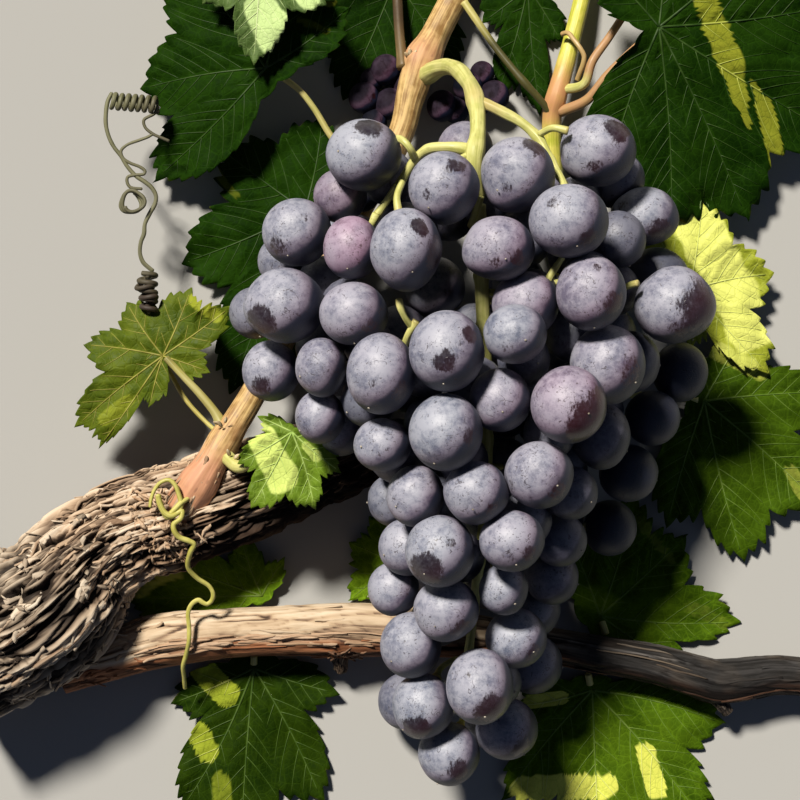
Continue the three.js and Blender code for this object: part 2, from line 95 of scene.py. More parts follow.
def cells(p, seed=0, jitter=0.9):
    """Worley cells: distance to the nearest point, how much further the second is, and a random number of the cell."""
    p = np.asarray(p, float)
    i = np.floor(p).astype(np.int64)
    best = np.full(p.shape[:-1], 1e9)
    second = best.copy()
    ident = np.zeros(p.shape[:-1])
    for dx in (-1, 0, 1):
        for dy in (-1, 0, 1):
            for dz in (-1, 0, 1):
                c = i + np.array([dx, dy, dz])
                q = np.stack([c[..., k] + 0.5 + jitter * (_hash(c[..., 0], c[..., 1], c[..., 2], seed + 31 * k) - 0.5) for k in range(3)], -1)
                d = np.sqrt(((q - p) ** 2).sum(-1))
                r = _hash(c[..., 0], c[..., 1], c[..., 2], seed + 977)
                near = d < best
                second = np.where(near, best, np.minimum(second, d))
                ident = np.where(near, r, ident)
                best = np.where(near, d, best)
    return best, second - best, ident


def smooth(a, b, x):
    t = np.clip((np.asarray(x, float) - a) / (b - a), 0, 1)
    return t * t * (3 - 2 * t)


def unit(v):
    v = np.asarray(v, float)
    return v / np.maximum(np.linalg.norm(v, axis=-1, keepdims=True), 1e-12)


# ------------------------------------------------------------------ meshes from arrays
class Bag:
    """Triangles of one piece, collected part by part, with a number or vector per vertex for each named attribute."""

    def __init__(self):
        self.v, self.f, self.m, self.a, self.n = [], [], [], [], 0

    def add(self, v, f, mat=0, fix=True, **attr):
        v = np.asarray(v, float).reshape(-1, 3)
        f = np.asarray(f, np.int64).reshape(-1, 3)
        if fix:
            a, b, c = v[f[:, 0]], v[f[:, 1]], v[f[:, 2]]
            if np.einsum("ij,ij->i", a - v[0], np.cross(b - v[0], c - v[0])).sum() < 0:
                f = f[:, [0, 2, 1]]
                if isinstance(mat, np.ndarray):
                    mat = mat.copy()
        self.v.append(v)
        self.f.append(f + self.n)
        self.m.append(np.broadcast_to(np.asarray(mat), (len(f),)).astype(np.int32))
        self.a.append((len(v), attr))
        self.n += len(v)

    def count(self):
        return sum(len(f) for f in self.f)


made = []


def build(bag, name, mats, nodes=(), flat=False):
    v, f, m = np.vstack(bag.v) / 1000.0, np.vstack(bag.f), np.concatenate(bag.m)
    me = bpy.data.meshes.new(name)
    me.from_pydata(v, [], f)
    me.polygons.foreach_set("material_index", m)
    me.polygons.foreach_set("use_smooth", np.full(len(f), not flat))
    kinds = {}
    for _, attr in bag.a:
        for k, x in attr.items():
            kinds[k] = 3 if np.ndim(x) == 2 or (np.ndim(x) == 1 and len(x) == 3 and isinstance(x, tuple)) else 1
    for k, dim in kinds.items():
        col = []
        for n, attr in bag.a:
            x = attr.get(k, 0.0)
            col.append(np.broadcast_to(np.asarray(x, float), (n, 3) if dim == 3 else (n,)))
        col = np.concatenate(col)
        layer = me.attributes.new(k, "FLOAT_VECTOR" if dim == 3 else "FLOAT", "POINT")
        layer.data.foreach_set("vector" if dim == 3 else "value", np.ascontiguousarray(col, np.float32).ravel())
    for x in mats:
        me.materials.append(x)
    me.update()
    ob = bpy.data.objects.new(name, me)
    bpy.context.scene.collection.objects.link(ob)
    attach(ob, "root")
    if nodes:
        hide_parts(*nodes)
    made.append((name, len(f)))
    return ob


def catmull(p, t):
    """Centripetal Catmull-Rom curve through the points p, as the CAD has it."""
    p = np.asarray(p, float)
    n = len(p)
    f = np.clip(t, 0, 1) * (n - 1)
    i = np.minimum(f.astype(int), n - 2)
    w = (f - i)[:, None]
    e = np.vstack([2 * p[0] - p[1], p, 2 * p[-1] - p[-2]])
    a, b, c, d = e[i], e[i + 1], e[i + 2], e[i + 3]
    gap = lambda x, y: np.maximum(((x - y) ** 2).sum(-1) ** 0.25, 1e-6)[:, None]
    d0, d1, d2 = gap(a, b), gap(b, c), gap(c, d)
    t1 = ((b - a) / d0 - (c - a) / (d0 + d1) + (c - b) / d1) * d1
    t2 = ((c - b) / d1 - (d - b) / (d1 + d2) + (d - c) / d2) * d1
    return b + t1 * w + (-3 * b + 3 * c - 2 * t1 - t2) * w ** 2 + (2 * b - 2 * c + t1 + t2) * w ** 3


def even(p, n, *more):
    """The polyline p and what goes with it, resampled at n even steps along its length."""
    s = np.concatenate([[0], np.cumsum(np.linalg.norm(np.diff(p, axis=0), axis=1))])
    t = np.linspace(0, s[-1], n)
    q = np.stack([np.interp(t, s, p[:, k]) for k in range(3)], -1)
    return (q, t, *[np.interp(t, s, m) for m in more])


def limb(rows, n, soften=0):
    rows = np.asarray(rows, float)
    t = np.linspace(0, 1, max(400, len(rows) * 40))
    p = catmull(at(rows[:, 0], rows[:, 1], rows[:, 2]), t)
    r = np.interp(t * (len(rows) - 1), np.arange(len(rows)), rows[:, 3] * 0.5 * scale_at(rows[:, 2]))
    v = np.interp(t * (len(rows) - 1), np.arange(len(rows)), rows[:, 1])
    q, s, r, v = even(p, n, r, v)
    if soften:
        k = np.exp(-0.5 * (np.arange(-3 * soften, 3 * soften + 1) / soften) ** 2)
        k /= k.sum()
        r = np.convolve(np.pad(r, 3 * soften, mode="edge"), k, "valid")
    return q, s, r, v


def frames(p):
    t = unit(np.gradient(p, axis=0))
    n = np.zeros_like(p)
    x = np.array([0, 0, 1.0])
    if abs(t[0] @ x) > 0.9:
        x = np.array([0.3, 1.0, 0.2])
    for i in range(len(p)):
        x = x - t[i] * (x @ t[i])
        x = x / np.linalg.norm(x)
        n[i] = x
    return t, n, np.cross(t, n)


def grid_faces(rows, sides, start=0):
    i, k = np.meshgrid(np.arange(rows - 1), np.arange(sides), indexing="ij")
    a = start + i * sides + k
    b = start + i * sides + (k + 1) % sides
    return np.concatenate([np.stack([a, b, b + sides], -1).reshape(-1, 3), np.stack([a, b + sides, a + sides], -1).reshape(-1, 3)])


def sweep(p, r, sides, caps=True, dome=0.0):
    """A closed tube round the line p. r is a radius for each ring, or for each ring and side."""
    r = np.asarray(r, float)
    if r.ndim == 1:
        r = np.repeat(r[:, None], sides, 1)
    t, n, b = frames(p)
    a = 2 * np.pi * np.arange(sides) / sides
    v = p[:, None] + r[..., None] * (n[:, None] * np.cos(a)[None, :, None] + b[:, None] * np.sin(a)[None, :, None])
    v = v.reshape(-1, 3)
    f = grid_faces(len(p), sides)
    k = np.arange(sides)
    first, last = len(v), len(v) + 1
    v = np.vstack([v, p[0] - t[0] * dome * r[0].mean(), p[-1] + t[-1] * dome * r[-1].mean()])
    e = (len(p) - 1) * sides
    f = np.concatenate([f, np.stack([np.full(sides, first), (k + 1) % sides, k], -1), np.stack([np.full(sides, last), e + k, e + (k + 1) % sides], -1)])
    return v, f


# ------------------------------------------------------------------ material helper
class Mat:
    def __init__(self, name):
        self.m = bpy.data.materials.new(name)
        self.m.use_nodes = True
        self.t = self.m.node_tree
        self.t.nodes.clear()
        self.out = self.t.nodes.new("ShaderNodeOutputMaterial")
        self.b = self.t.nodes.new("ShaderNodeBsdfPrincipled")
        self.t.links.new(self.b.outputs[0], self.out.inputs[0])

    def node(self, kind, inputs=None, **props):
        n = self.t.nodes.new(kind)
        for k, x in props.items():
            setattr(n, k, x)
        for k, x in (inputs or {}).items():
            self.put(n.inputs[k], x)
        return n

    def put(self, socket, x):
        if isinstance(x, bpy.types.NodeSocket):
            self.t.links.new(x, socket)
        elif isinstance(x, (tuple, list)) and len(x) == 3 and socket.type == "RGBA":
            socket.default_value = (*x, 1)
        else:
            socket.default_value = x

    def place(self):
        return self.node("ShaderNodeTexCoord").outputs["Object"]

    def attr(self, name, vector=False):
        return self.node("ShaderNodeAttribute", attribute_name=name).outputs["Vector" if vector else "Fac"]

    def mapped(self, vec, scale=(1, 1, 1), loc=(0, 0, 0)):
        return self.node("ShaderNodeMapping", {"Vector": vec, "Scale": scale, "Location": loc}).outputs[0]

    def noise(self, vec, scale, detail=2.0, rough=0.5, distort=0.0):
        return self.node("ShaderNodeTexNoise", {"Vector": vec, "Scale": scale, "Detail": detail, "Roughness": rough, "Distortion": distort}).outputs["Fac"]

    def voronoi(self, vec, scale, feature="F1", out="Distance", random=1.0):
        return self.node("ShaderNodeTexVoronoi", {"Vector": vec, "Scale": scale, "Randomness": random}, feature=feature).outputs[out]

    def math(self, op, a, b=0.0, clamp=False):
        n = self.node("ShaderNodeMath", operation=op, use_clamp=clamp)
        self.put(n.inputs[0], a)
        self.put(n.inputs[1], b)
        return n.outputs[0]

    def range(self, x, a, b, c=0.0, d=1.0, smooth=True):
        n = self.node("ShaderNodeMapRange", {"Value": x, "From Min": a, "From Max": b, "To Min": c, "To Max": d})
        n.interpolation_type = "SMOOTHSTEP" if smooth else "LINEAR"
        return n.outputs[0]

    def ramp(self, x, stops, ease=False):
        n = self.node("ShaderNodeValToRGB", {"Fac": x})
        n.color_ramp.interpolation = "EASE" if ease else "LINEAR"
        e = n.color_ramp.elements
        while len(e) > len(stops):
            e.remove(e[-1])
        while len(e) < len(stops):
            e.new(1.0)
        for i, (p, c) in enumerate(stops):
            e[i].position = p
            e[i].color = (*c, 1)
        return n.outputs[0]

    def mix(self, f, a, b, blend="MIX"):
        n = self.node("ShaderNodeMix", data_type="RGBA", blend_type=blend)
        self.put(n.inputs[0], f)
        self.put(n.inputs[6], a)
        self.put(n.inputs[7], b)
        return n.outputs[2]

    def bump(self, height, strength, distance, normal=None):
        n = self.node("ShaderNodeBump", {"Height": height, "Strength": strength, "Distance": distance})
        if normal is not None:
            self.put(n.inputs["Normal"], normal)
        return n.outputs[0]

    def set(self, **values):
        for k, x in values.items():
            self.put(self.b.inputs[k.replace("_", " ")], x)
        return self.m


def berry_material(name, bloom=(0.088, 0.105, 0.164), pale=(0.302, 0.316, 0.384), skin=(0.013, 0.008, 0.014), extra=0.0, matt=0.0):
    """Wax over a dark skin: cloudy, thinner where it was rubbed, with flecks, streaks and short scratches."""
    g = Mat(name)
    p = g.place()
    big = g.noise(p, 105, 3, 0.6)
    mid = g.noise(p, 420, 4, 0.7)
    fine = g.noise(p, 1350, 4, 0.7)
    dust = g.noise(p, 3200, 2, 0.6)
    rub, tint, deep = g.attr("rub"), g.attr("tint"), g.attr("deep")
    centred = lambda x, k: g.math("MULTIPLY", g.math("SUBTRACT", x, 0.5), k)
    # cloudy wax
    cloud = g.math("ADD", g.math("ADD", centred(big, 0.85), centred(mid, 0.72)), g.math("ADD", centred(fine, 0.45), centred(dust, 0.18)))
    thick = g.range(cloud, -0.36, 0.18)
    wax = g.mix(thick, bloom, pale)
    wax = g.mix(tint, wax, g.mix(thick, (0.165, 0.060, 0.110), (0.350, 0.205, 0.310)))
    under = g.mix(g.math("MULTIPLY", tint, 2.0, clamp=True), skin, (0.030, 0.005, 0.007))
    # painted shade: the deep attribute darkens the wax to a dark blue, with a plum cast where tinted, and at high
    # values to a near black blue
    wax = g.mix(g.math("MULTIPLY", deep, 0.80), wax, g.mix(g.math("MULTIPLY", tint, 2.2, clamp=True), (0.020, 0.023, 0.050), (0.040, 0.015, 0.040)))
    wax = g.mix(g.range(deep, 0.70, 1.0), wax, (0.0050, 0.0090, 0.0260))
    # rubbed places, with ragged streaky borders and some wax left inside
    streak = g.noise(g.mapped(p, (2.6, 0.8, 1.4)), 520, 4, 0.7, 0.6)
    wear = g.math("ADD", g.math("ADD", rub, centred(big, 0.60)), g.math("ADD", centred(streak, 1.3), centred(fine, 0.7)))
    worn = g.range(g.math("ADD", wear, extra), 0.34, 0.70)
    worn = g.math("MULTIPLY", worn, g.range(g.noise(g.mapped(p, (1, 1, 1), (0.2, 0.6, 0.4)), 760, 3, 0.7), 0.34, 0.60, 0.90, 1.0))
    # dark flecks, thick in some parts of a berry and rare in others
    crowd = centred(g.noise(g.mapped(p, (1, 1, 1), (0.3, 0.7, 0.1)), 170, 3, 0.6), 0.42)
    fleck = g.range(g.math("ADD", g.noise(p, 1150, 2, 0.55), crowd), 0.665, 0.715)
    speck = g.range(g.math("ADD", g.noise(p, 2300, 1, 0.5), crowd), 0.680, 0.730)
    # short curved scratches: thin contour lines of a slow noise, kept in places only
    line_a = g.range(g.math("ABSOLUTE", g.math("SUBTRACT", g.noise(g.mapped(p, (1, 1, 1), (0.11, 0.2, 0.5)), 210, 2, 0.5), 0.5)), 0.012, 0.004)
    line_b = g.range(g.math("ABSOLUTE", g.math("SUBTRACT", g.noise(g.mapped(p, (1.7, 0.6, 1.2), (0.9, 0.4, 0.8)), 260, 2, 0.5), 0.5)), 0.013, 0.004)
    keep_a = g.range(g.noise(g.mapped(p, (1, 1, 1), (0.5, 0.5, 0.9)), 260, 2, 0.6), 0.56, 0.62)
    keep_b = g.range(g.noise(g.mapped(p, (1, 1, 1), (0.8, 0.1, 0.3)), 240, 2, 0.6), 0.58, 0.64)
    marks = g.math("MAXIMUM", g.math("MAXIMUM", fleck, g.math("MULTIPLY", speck, 0.8)), g.math("MAXIMUM", g.math("MULTIPLY", line_a, keep_a), g.math("MULTIPLY", line_b, keep_b)))
    colour = g.mix(g.math("MULTIPLY", worn, 0.97), wax, under)
    colour = g.mix(g.math("MULTIPLY", marks, 0.66), colour, under)
    rough = g.range(g.math("ADD", worn, centred(fine, 0.6)), 0.0, 1.0, 0.53 + 0.8 * matt, 0.30 + matt)
    height = g.math("SUBTRACT", g.math("ADD", g.math("MULTIPLY", fine, 0.6), g.math("MULTIPLY", mid, 0.9)), g.math("ADD", g.math("MULTIPLY", worn, 0.4), g.math("MULTIPLY", marks, 0.7)))
    return g.set(Base_Color=colour, Roughness=rough, IOR=1.45 if not matt else 1.25, Specular_IOR_Level=0.80 if not matt else 0.3, Sheen_Weight=0.03 if not matt else 0.0, Sheen_Roughness=0.40, Sheen_Tint=(0.70, 0.75, 1.0),
                 Normal=g.bump(height, 0.45, 0.00016))


def bark_material(name, stops, flow=(1, 1, 1), rough=0.9, hair=1400.0):
    """Old wood: the colour follows how high a strip stands, darker down in the splits, which is partly the wood's own
    colour and partly painted shade, with fine lengthwise fibres.
    """
    g = Mat(name)
    f = g.attr("flow", True)
    h = g.attr("high")
    tone = g.attr("tone")
    fibre = g.noise(g.mapped(f, (0.10, 1, 1)), hair, 4, 0.65)
    strand = g.noise(g.mapped(f, (0.05, 1, 1)), hair * 0.28, 3, 0.6)
    blot = g.noise(g.place(), 60, 3, 0.6)
    x = g.math("ADD", h, g.math("ADD", g.math("MULTIPLY", g.math("SUBTRACT", fibre, 0.5), 0.42), g.math("MULTIPLY", g.math("SUBTRACT", strand, 0.5), 0.40)))
    base = g.ramp(g.math("ADD", x, g.math("MULTIPLY", g.math("SUBTRACT", blot, 0.5), 0.25), clamp=True), stops[0])
    # the second ramp, which the tone attribute picks: warmer bark on the old arm, painted shade on the right part of
    # the cane
    warm_bark_and_cane_shade = g.ramp(g.math("ADD", x, 0.0, clamp=True), stops[1])
    colour = g.mix(tone, base, warm_bark_and_cane_shade)
    colour = g.mix(g.math("ADD", g.attr("red"), g.math("MULTIPLY", g.math("SUBTRACT", blot, 0.5), 0.3), clamp=True), colour, g.mix(1.0, colour, (0.66, 0.36, 0.24), "MULTIPLY"))
    height = g.math("ADD", g.math("MULTIPLY", fibre, 0.6), g.math("MULTIPLY", strand, 0.9))
    return g.set(Base_Color=colour, Roughness=g.range(fibre, 0.3, 0.7, rough, rough - 0.2), Specular_IOR_Level=0.25, Normal=g.bump(height, 0.75, 0.0005))


def stem_material(name, low, high, red=(0.20, 0.055, 0.025), rough=0.42, ridge=1500.0, spots=0.0):
    """Green or ripening shoot: a skin with fine lengthwise lines, turning redder where its attribute says."""
    g = Mat(name)
    f, tone = g.attr("flow", True), g.attr("tone")
    line = g.noise(g.mapped(f, (0.05, 1, 1)), ridge, 3, 0.55)
    mottle = g.noise(g.place(), 240, 3, 0.6)
    colour = g.mix(g.range(g.math("ADD", g.math("MULTIPLY", line, 0.6), g.math("MULTIPLY", mottle, 0.4)), 0.36, 0.64), low, high)
    colour = g.mix(g.math("ADD", tone, g.math("MULTIPLY", g.math("SUBTRACT", mottle, 0.5), 0.5), clamp=True), colour, red)
    if spots:
        dots = g.range(g.voronoi(g.mapped(f, (0.35, 1, 1)), 620), 0.20, 0.10)
        colour = g.mix(g.math("MULTIPLY", dots, spots), colour, tuple(0.35 * c for c in red))
    return g.set(Base_Color=colour, Roughness=g.range(mottle, 0.3, 0.7, rough - 0.08, rough + 0.12), Normal=g.bump(line, 0.5, 0.0003))


def leaf_material(name, dark, mid, sun, back=False, rough=0.55, gloss=0.26, relief=0.42, line=None):
    """A leaf blade: a fine net of veinlets, cloudy greens, and paler parts of painted sunlight where its attribute
    says.
    """
    g = Mat(name)
    p = g.place()
    flat = g.mapped(p, (1, 1, 0.3))
    cloud = g.noise(flat, 46, 4, 0.55)
    small = g.noise(flat, 330, 3, 0.6)
    net = g.range(g.voronoi(flat, 520, "DISTANCE_TO_EDGE"), 0.0, 0.11)
    wide = g.range(g.voronoi(g.mapped(p, (1, 1, 0.3), (0.4, 0.1, 0)), 190, "DISTANCE_TO_EDGE"), 0.0, 0.07)
    lit, edge, vein = g.attr("sun"), g.attr("edge"), g.attr("vein")
    colour = g.mix(g.range(g.math("ADD", g.math("MULTIPLY", cloud, 0.7), g.math("MULTIPLY", small, 0.3)), 0.36, 0.64), dark, mid)
    lightness = g.range(g.math("ADD", lit, g.math("MULTIPLY", g.math("SUBTRACT", small, 0.5), 0.16)), 0.22, 0.76)
    colour = g.mix(lightness, colour, sun)
    colour = g.mix(g.math("MULTIPLY", g.math("SUBTRACT", 1.0, wide), 0.14), colour, line or tuple(0.30 * s + 0.70 * m for s, m in zip(sun, mid)))
    colour = g.mix(g.math("MULTIPLY", g.math("SUBTRACT", 1.0, net), 0.12), colour, line or tuple(0.35 * s + 0.65 * m for s, m in zip(sun, mid)))
    colour = g.mix(g.math("MULTIPLY", vein, 0.30), colour, line or tuple(0.40 * s + 0.60 * m for s, m in zip(sun, mid)))
    colour = g.mix(g.math("MULTIPLY", g.range(g.math("ADD", edge, g.math("MULTIPLY", g.math("SUBTRACT", small, 0.5), 0.7)), 0.55, 1.0), 0.55), colour, (0.19, 0.13, 0.035))
    height = g.math("ADD", g.math("MULTIPLY", net, 0.5), g.math("ADD", g.math("MULTIPLY", wide, 0.8), g.math("MULTIPLY", small, 0.5)))
    return g.set(Base_Color=colour, Roughness=g.range(small, 0.3, 0.7, rough - 0.06, rough + 0.12), Specular_IOR_Level=gloss,
                 Sheen_Weight=0.0 if not back else 0.15, Sheen_Roughness=0.5, Normal=g.bump(height, relief, 0.0003))


def plain_skin(name, a, b, scale=300, rough=0.5, distance=0.0002):
    g = Mat(name)
    n = g.noise(g.place(), scale, 3, 0.6)
    return g.set(Base_Color=g.mix(g.range(n, 0.35, 0.65), a, b), Roughness=g.range(n, 0.3, 0.7, rough - 0.08, rough + 0.1), Normal=g.bump(n, 0.5, distance))


def vein_material(name, a, b, sun):
    """The ribs of a leaf, paler where the blade is sunlit."""
    g = Mat(name)
    n = g.noise(g.place(), 260, 3, 0.6)
    colour = g.mix(g.range(g.attr("sun"), 0.25, 0.75), g.mix(g.range(n, 0.35, 0.65), a, b), sun)
    return g.set(Base_Color=colour, Roughness=g.range(n, 0.3, 0.7, 0.48, 0.64), Specular_IOR_Level=0.3, Normal=g.bump(n, 0.5, 0.0002))


# ------------------------------------------------------------------ sizes shared with the CAD
ARM = [[-66, 668, 24.6, 150], [0, 634, 24.4, 148], [48, 604, 24, 146], [92, 556, 20, 116], [134, 530, 17.5, 104], [196, 511, 17, 102], [262, 486, 16.5, 94], [330, 458, 16, 82], [392, 432, 15, 72]]
CANE = [[60, 672, 14, 44], [103, 658, 13, 47], [155, 642, 12.5, 54], [224, 634, 12.5, 50], [290, 631, 12.5, 50], [352, 630, 12.5, 54], [460, 635, 12, 44], [551, 645, 11.5, 34], [600, 654, 11.5, 36], [652, 664, 11.5, 38], [696, 676, 11.5, 42], [718, 683, 11.5, 54], [736, 680, 11.5, 44], [776, 675, 11.5, 38], [834, 680, 11.5, 37]]
STUB = [[338, 646, 11, 26], [340, 662, 9, 20], [342, 672, 8, 15]]
SHOOT = [[188, 500, 29, 40], [203, 477, 30, 34], [224, 441, 28, 29], [250, 399, 24.5, 26], [300, 308, 18, 26], [352, 222, 15, 25], [388, 160, 13.8, 25], [403, 127, 14, 26], [411, 94, 14, 26], [420, 66, 13.5, 33], [437, 31, 10, 27], [453, 0, 7.2, 28], [470, -34, 4.7, 29]]
SECOND = [[540, 640, 12, 15], [548, 600, 9, 15], [556, 560, 7, 14], [572, 500, 5, 15], [580, 440, 4.6, 16], [576, 340, 4.6, 18], [556, 210, 6, 20], [552, 117, 10, 22], [557, 90, 12, 24], [564, 66, 12, 18], [573, 31, 10, 16], [580, 0, 8, 14], [589, -40, 5, 13]]
THIN = [[548, 110, 16, 9], [523, 81, 15, 9], [496, 48, 13, 8], [464, 2, 10.5, 8]]
PEDUNCLE = [[420, 70, 18, 17], [437, 64, 25, 17], [456, 61, 35, 17], [470, 73, 48, 17], [478, 96, 58, 18], [478, 130, 65, 18], [474, 160, 69, 18], [478, 196, 64, 15]]
RACHIS = [[479, 205, 61, 14], [482, 290, 52, 14], [486, 390, 49, 13], [486, 490, 47, 11], [476, 590, 43, 10], [468, 660, 35, 8], [464, 715, 28, 6]]
WING_RIGHT = [[486, 104, 60, 13], [506, 114, 61, 12], [523, 124, 62, 12], [538, 138, 63, 11], [549, 157, 66, 10], [560, 178, 71, 9]]
WING_LEFT = [[468, 151, 68, 13], [450, 147, 67, 11], [428, 149, 65, 11], [416, 158, 64, 10], [400, 184, 63, 9], [376, 214, 62, 8]]
SECTIONS = np.array([(100, 480, 60, 55, 15), (150, 480, 155, 52, 34), (220, 470, 205, 50, 41), (300, 473, 240, 49, 43), (370, 475, 232, 49, 42), (430, 478, 200, 48, 40),
                     (500, 500, 150, 47, 37), (560, 480, 118, 44, 33), (620, 467, 98, 40, 27), (680, 468, 95, 32, 25), (740, 465, 72, 25, 21), (785, 455, 35, 20, 12)], float)
LOBES = {
    "left_shoulder": [[364, 155, 38, 36, 5], [340, 196, 27, 27, -16], [297, 232, 35, 34, 3], [283, 261, 26, 26, -22], [284, 306, 41, 38, 4], [255, 313, 26, 26, -22]],
    "left_crown": [[352, 248, 29, 32, -2], [354, 314, 35, 32, -1], [406, 250, 36, 42, 8], [444, 188, 36, 37, 4]],
    "centre_crown": [[498, 249, 37, 33, 0], [526, 304, 34, 33, -7], [515, 334, 32, 30, 7], [465, 149, 28, 28, -20], [517, 176, 38, 39, 1]],
    "right_shoulder": [[597, 151, 39, 36, 5], [569, 221, 40, 37, 10], [645, 217, 35, 30, -6], [616, 180, 29, 29, -22]],
    "right_flank": [[591, 293, 35, 38, 6], [675, 305, 41, 39, 10], [656, 281, 34, 34, -26], [608, 365, 38, 40, 0], [628, 362, 32, 32, -20], [680, 372, 28, 30, -16]],
    "left_flank": [[271, 371, 29, 31, 0], [321, 368, 26, 30, -4], [381, 374, 35, 41, 5], [320, 417, 25, 27, -6], [382, 445, 29, 27, 0]],
    "middle": [[447, 351, 38, 41, 9], [446, 432, 37, 39, 8], [500, 400, 31, 32, -2], [569, 405, 38, 39, 11]],
    "lower_middle": [[539, 475, 35, 34, 4], [476, 493, 33, 32, 5], [512, 541, 33, 31, 7], [524, 520, 28, 28, -12]],
    "right_lower": [[652, 418, 28, 28, -16], [601, 436, 29, 34, -10], [628, 473, 30, 29, -16], [571, 493, 27, 27, -10], [610, 528, 27, 28, -18], [560, 540, 27, 27, -12], [552, 577, 27, 28, -12]],
    "left_lower": [[415, 496, 29, 31, -2], [394, 500, 27, 27, -21], [407, 547, 29, 29, -11], [440, 551, 35, 36, 8], [393, 589, 26, 27, -6]],
    "waist": [[504, 590, 25, 26, -2], [446, 610, 33, 32, 3], [411, 645, 31, 33, 0], [516, 638, 31, 30, -2], [533, 664, 30, 30, -12], [534, 610, 27, 27, -20]],
    "tail": [[480, 687, 34, 38, 11], [423, 706, 31, 33, 4], [407, 701, 29, 29, -16], [507, 729, 31, 31, 0], [449, 754, 31, 32, 0]],
}
LEAVES = {
    "upper_left_leaf": dict(at=[266, 68, 21], tips=[[158, 177], [145, 88], [178, -46], [296, -54], [346, 10]], slope=[7, -1], droop=5, colour="dark"),
    "top_left_leaf": dict(at=[262, -54, 30], tips=[[324, 4], [254, 60], [206, 2], [186, -76], [246, -122]], slope=[2, 2], droop=4, colour="light"),
    "left_back_leaf": dict(at=[305, 211, 7], tips=[[330, 372], [232, 388], [186, 262], [226, 153], [322, 120]], slope=[1, -1], droop=3, colour="dark"),
    "top_leaf": dict(at=[396, -22, 1.5], tips=[[345, 94], [304, 0], [366, -100], [452, -84], [458, 60]], slope=[0, 0], droop=0.6, colour="dark"),
    "upper_right_leaf": dict(at=[659, 27, 24], tips=[[592, -38], [672, -98], [775, -84], [842, 4], [824, 130], [745, 214], [672, 226], [604, 190]], slope=[-5, -3], droop=6, colour="dark"),
    "right_bright_leaf": dict(at=[690, 290, 11], tips=[[640, 215], [702, 206], [769, 274], [764, 370], [692, 344]], slope=[-2, 0], droop=3, colour="light"),
    "right_leaf": dict(at=[704, 401, 7], tips=[[742, 336], [822, 392], [815, 500], [742, 556], [668, 520]], slope=[-2, 0], droop=3.5, colour="dark"),
    "lower_right_leaf": dict(at=[600, 616, 3.4], tips=[[560, 520], [634, 500], [682, 540], [734, 622], [676, 668]], slope=[0, 0], droop=2.4, colour="dark"),
    "bottom_right_leaf": dict(at=[592, 690, 2.8], tips=[[720, 722], [704, 822], [600, 866], [506, 794], [520, 706]], slope=[0, 0], droop=2, colour="light"),
    "bottom_left_leaf": dict(at=[254, 668, 2.8], tips=[[332, 692], [320, 796], [240, 872], [184, 806], [176, 702]], slope=[0, 0], droop=2, colour="dark"),
    "inner_left_leaf": dict(at=[262, 596, 2.6], tips=[[130, 600], [150, 556], [242, 540], [282, 562]], slope=[0, 0], droop=1.8, colour="dark"),
    "inner_leaf": dict(at=[398, 566, 3], tips=[[386, 606], [352, 598], [352, 544], [376, 512], [430, 520]], slope=[0, 0], droop=1.2, colour="dark"),
    "left_leaf": dict(at=[163, 356, 24], tips=[[150, 404], [102, 444], [79, 424], [88, 345], [128, 305], [190, 292], [228, 309], [207, 371]], slope=[4, 1], droop=5, colour="olive"),
    "young_leaf": dict(at=[292, 432, 44], tips=[[338, 470], [314, 506], [252, 506], [240, 462], [262, 418]], slope=[2, -3], droop=3, colour="young"),
    "crown_leaf": dict(at=[528, -12, 3], tips=[[500, 88], [540, 110], [560, 40], [560, -70], [496, -76], [486, 20]], slope=[0, 0], droop=1.6, colour="dark"),
}
STALKS = {
    "upper_left_stalk": [[272, 70, 20.5, 7], [299, 90, 19, 6], [313, 107, 18, 6], [338, 145, 16, 7], [374, 170, 14, 8]],
    "top_left_stalk": [[268, -58, 29.5, 7], [330, -66, 24, 7], [400, -58, 14, 8], [460, -28, 9, 9]],
    "left_back_stalk": [[309, 208, 8, 7], [335, 200, 9.5, 7], [362, 190, 11, 8]],
    "red_stalk": [[403, 68, 15, 11], [400, 40, 12, 10], [398, 10, 8, 10], [397, -18, 4.6, 10]],
    "upper_right_stalk": [[569, 116, 14, 12], [587, 100, 17, 10], [607, 76, 20, 9], [633, 50, 22.5, 8], [655, 31, 23.8, 8]],
    "side_stalk": [[568, 92, 16, 11], [584, 84, 18, 9], [592, 62, 19, 9], [610, 36, 18, 8], [634, -4, 15, 8], [650, -60, 10, 7]],
    "right_bright_stalk": [[684, 292, 11.5, 7], [640, 302, 9, 7], [584, 312, 5, 8]],
    "right_stalk": [[698, 400, 7.5, 7], [650, 396, 6, 7], [598, 392, 5, 8]],
    "lower_right_stalk": [[602, 622, 4.4, 7], [606, 634, 6, 7]],
    "bottom_right_stalk": [[590, 684, 4, 7], [588, 674, 6, 7]],
    "bottom_left_stalk": [[254, 664, 4, 7], [254, 656, 5, 7]],
    "left_stalk": [[166, 358, 24.5, 7], [183, 376, 25.5, 7], [200, 394, 26.5, 8], [216, 414, 27, 9], [224, 430, 27.5, 11]],
    "young_stalk": [[228, 458, 32, 15], [240, 467, 36, 13], [262, 452, 40, 7], [288, 434, 44, 7]],
}
REAR_BERRY, FOLLOW, BERRY_SQUEEZE = 9.6, 0.86, 0.95

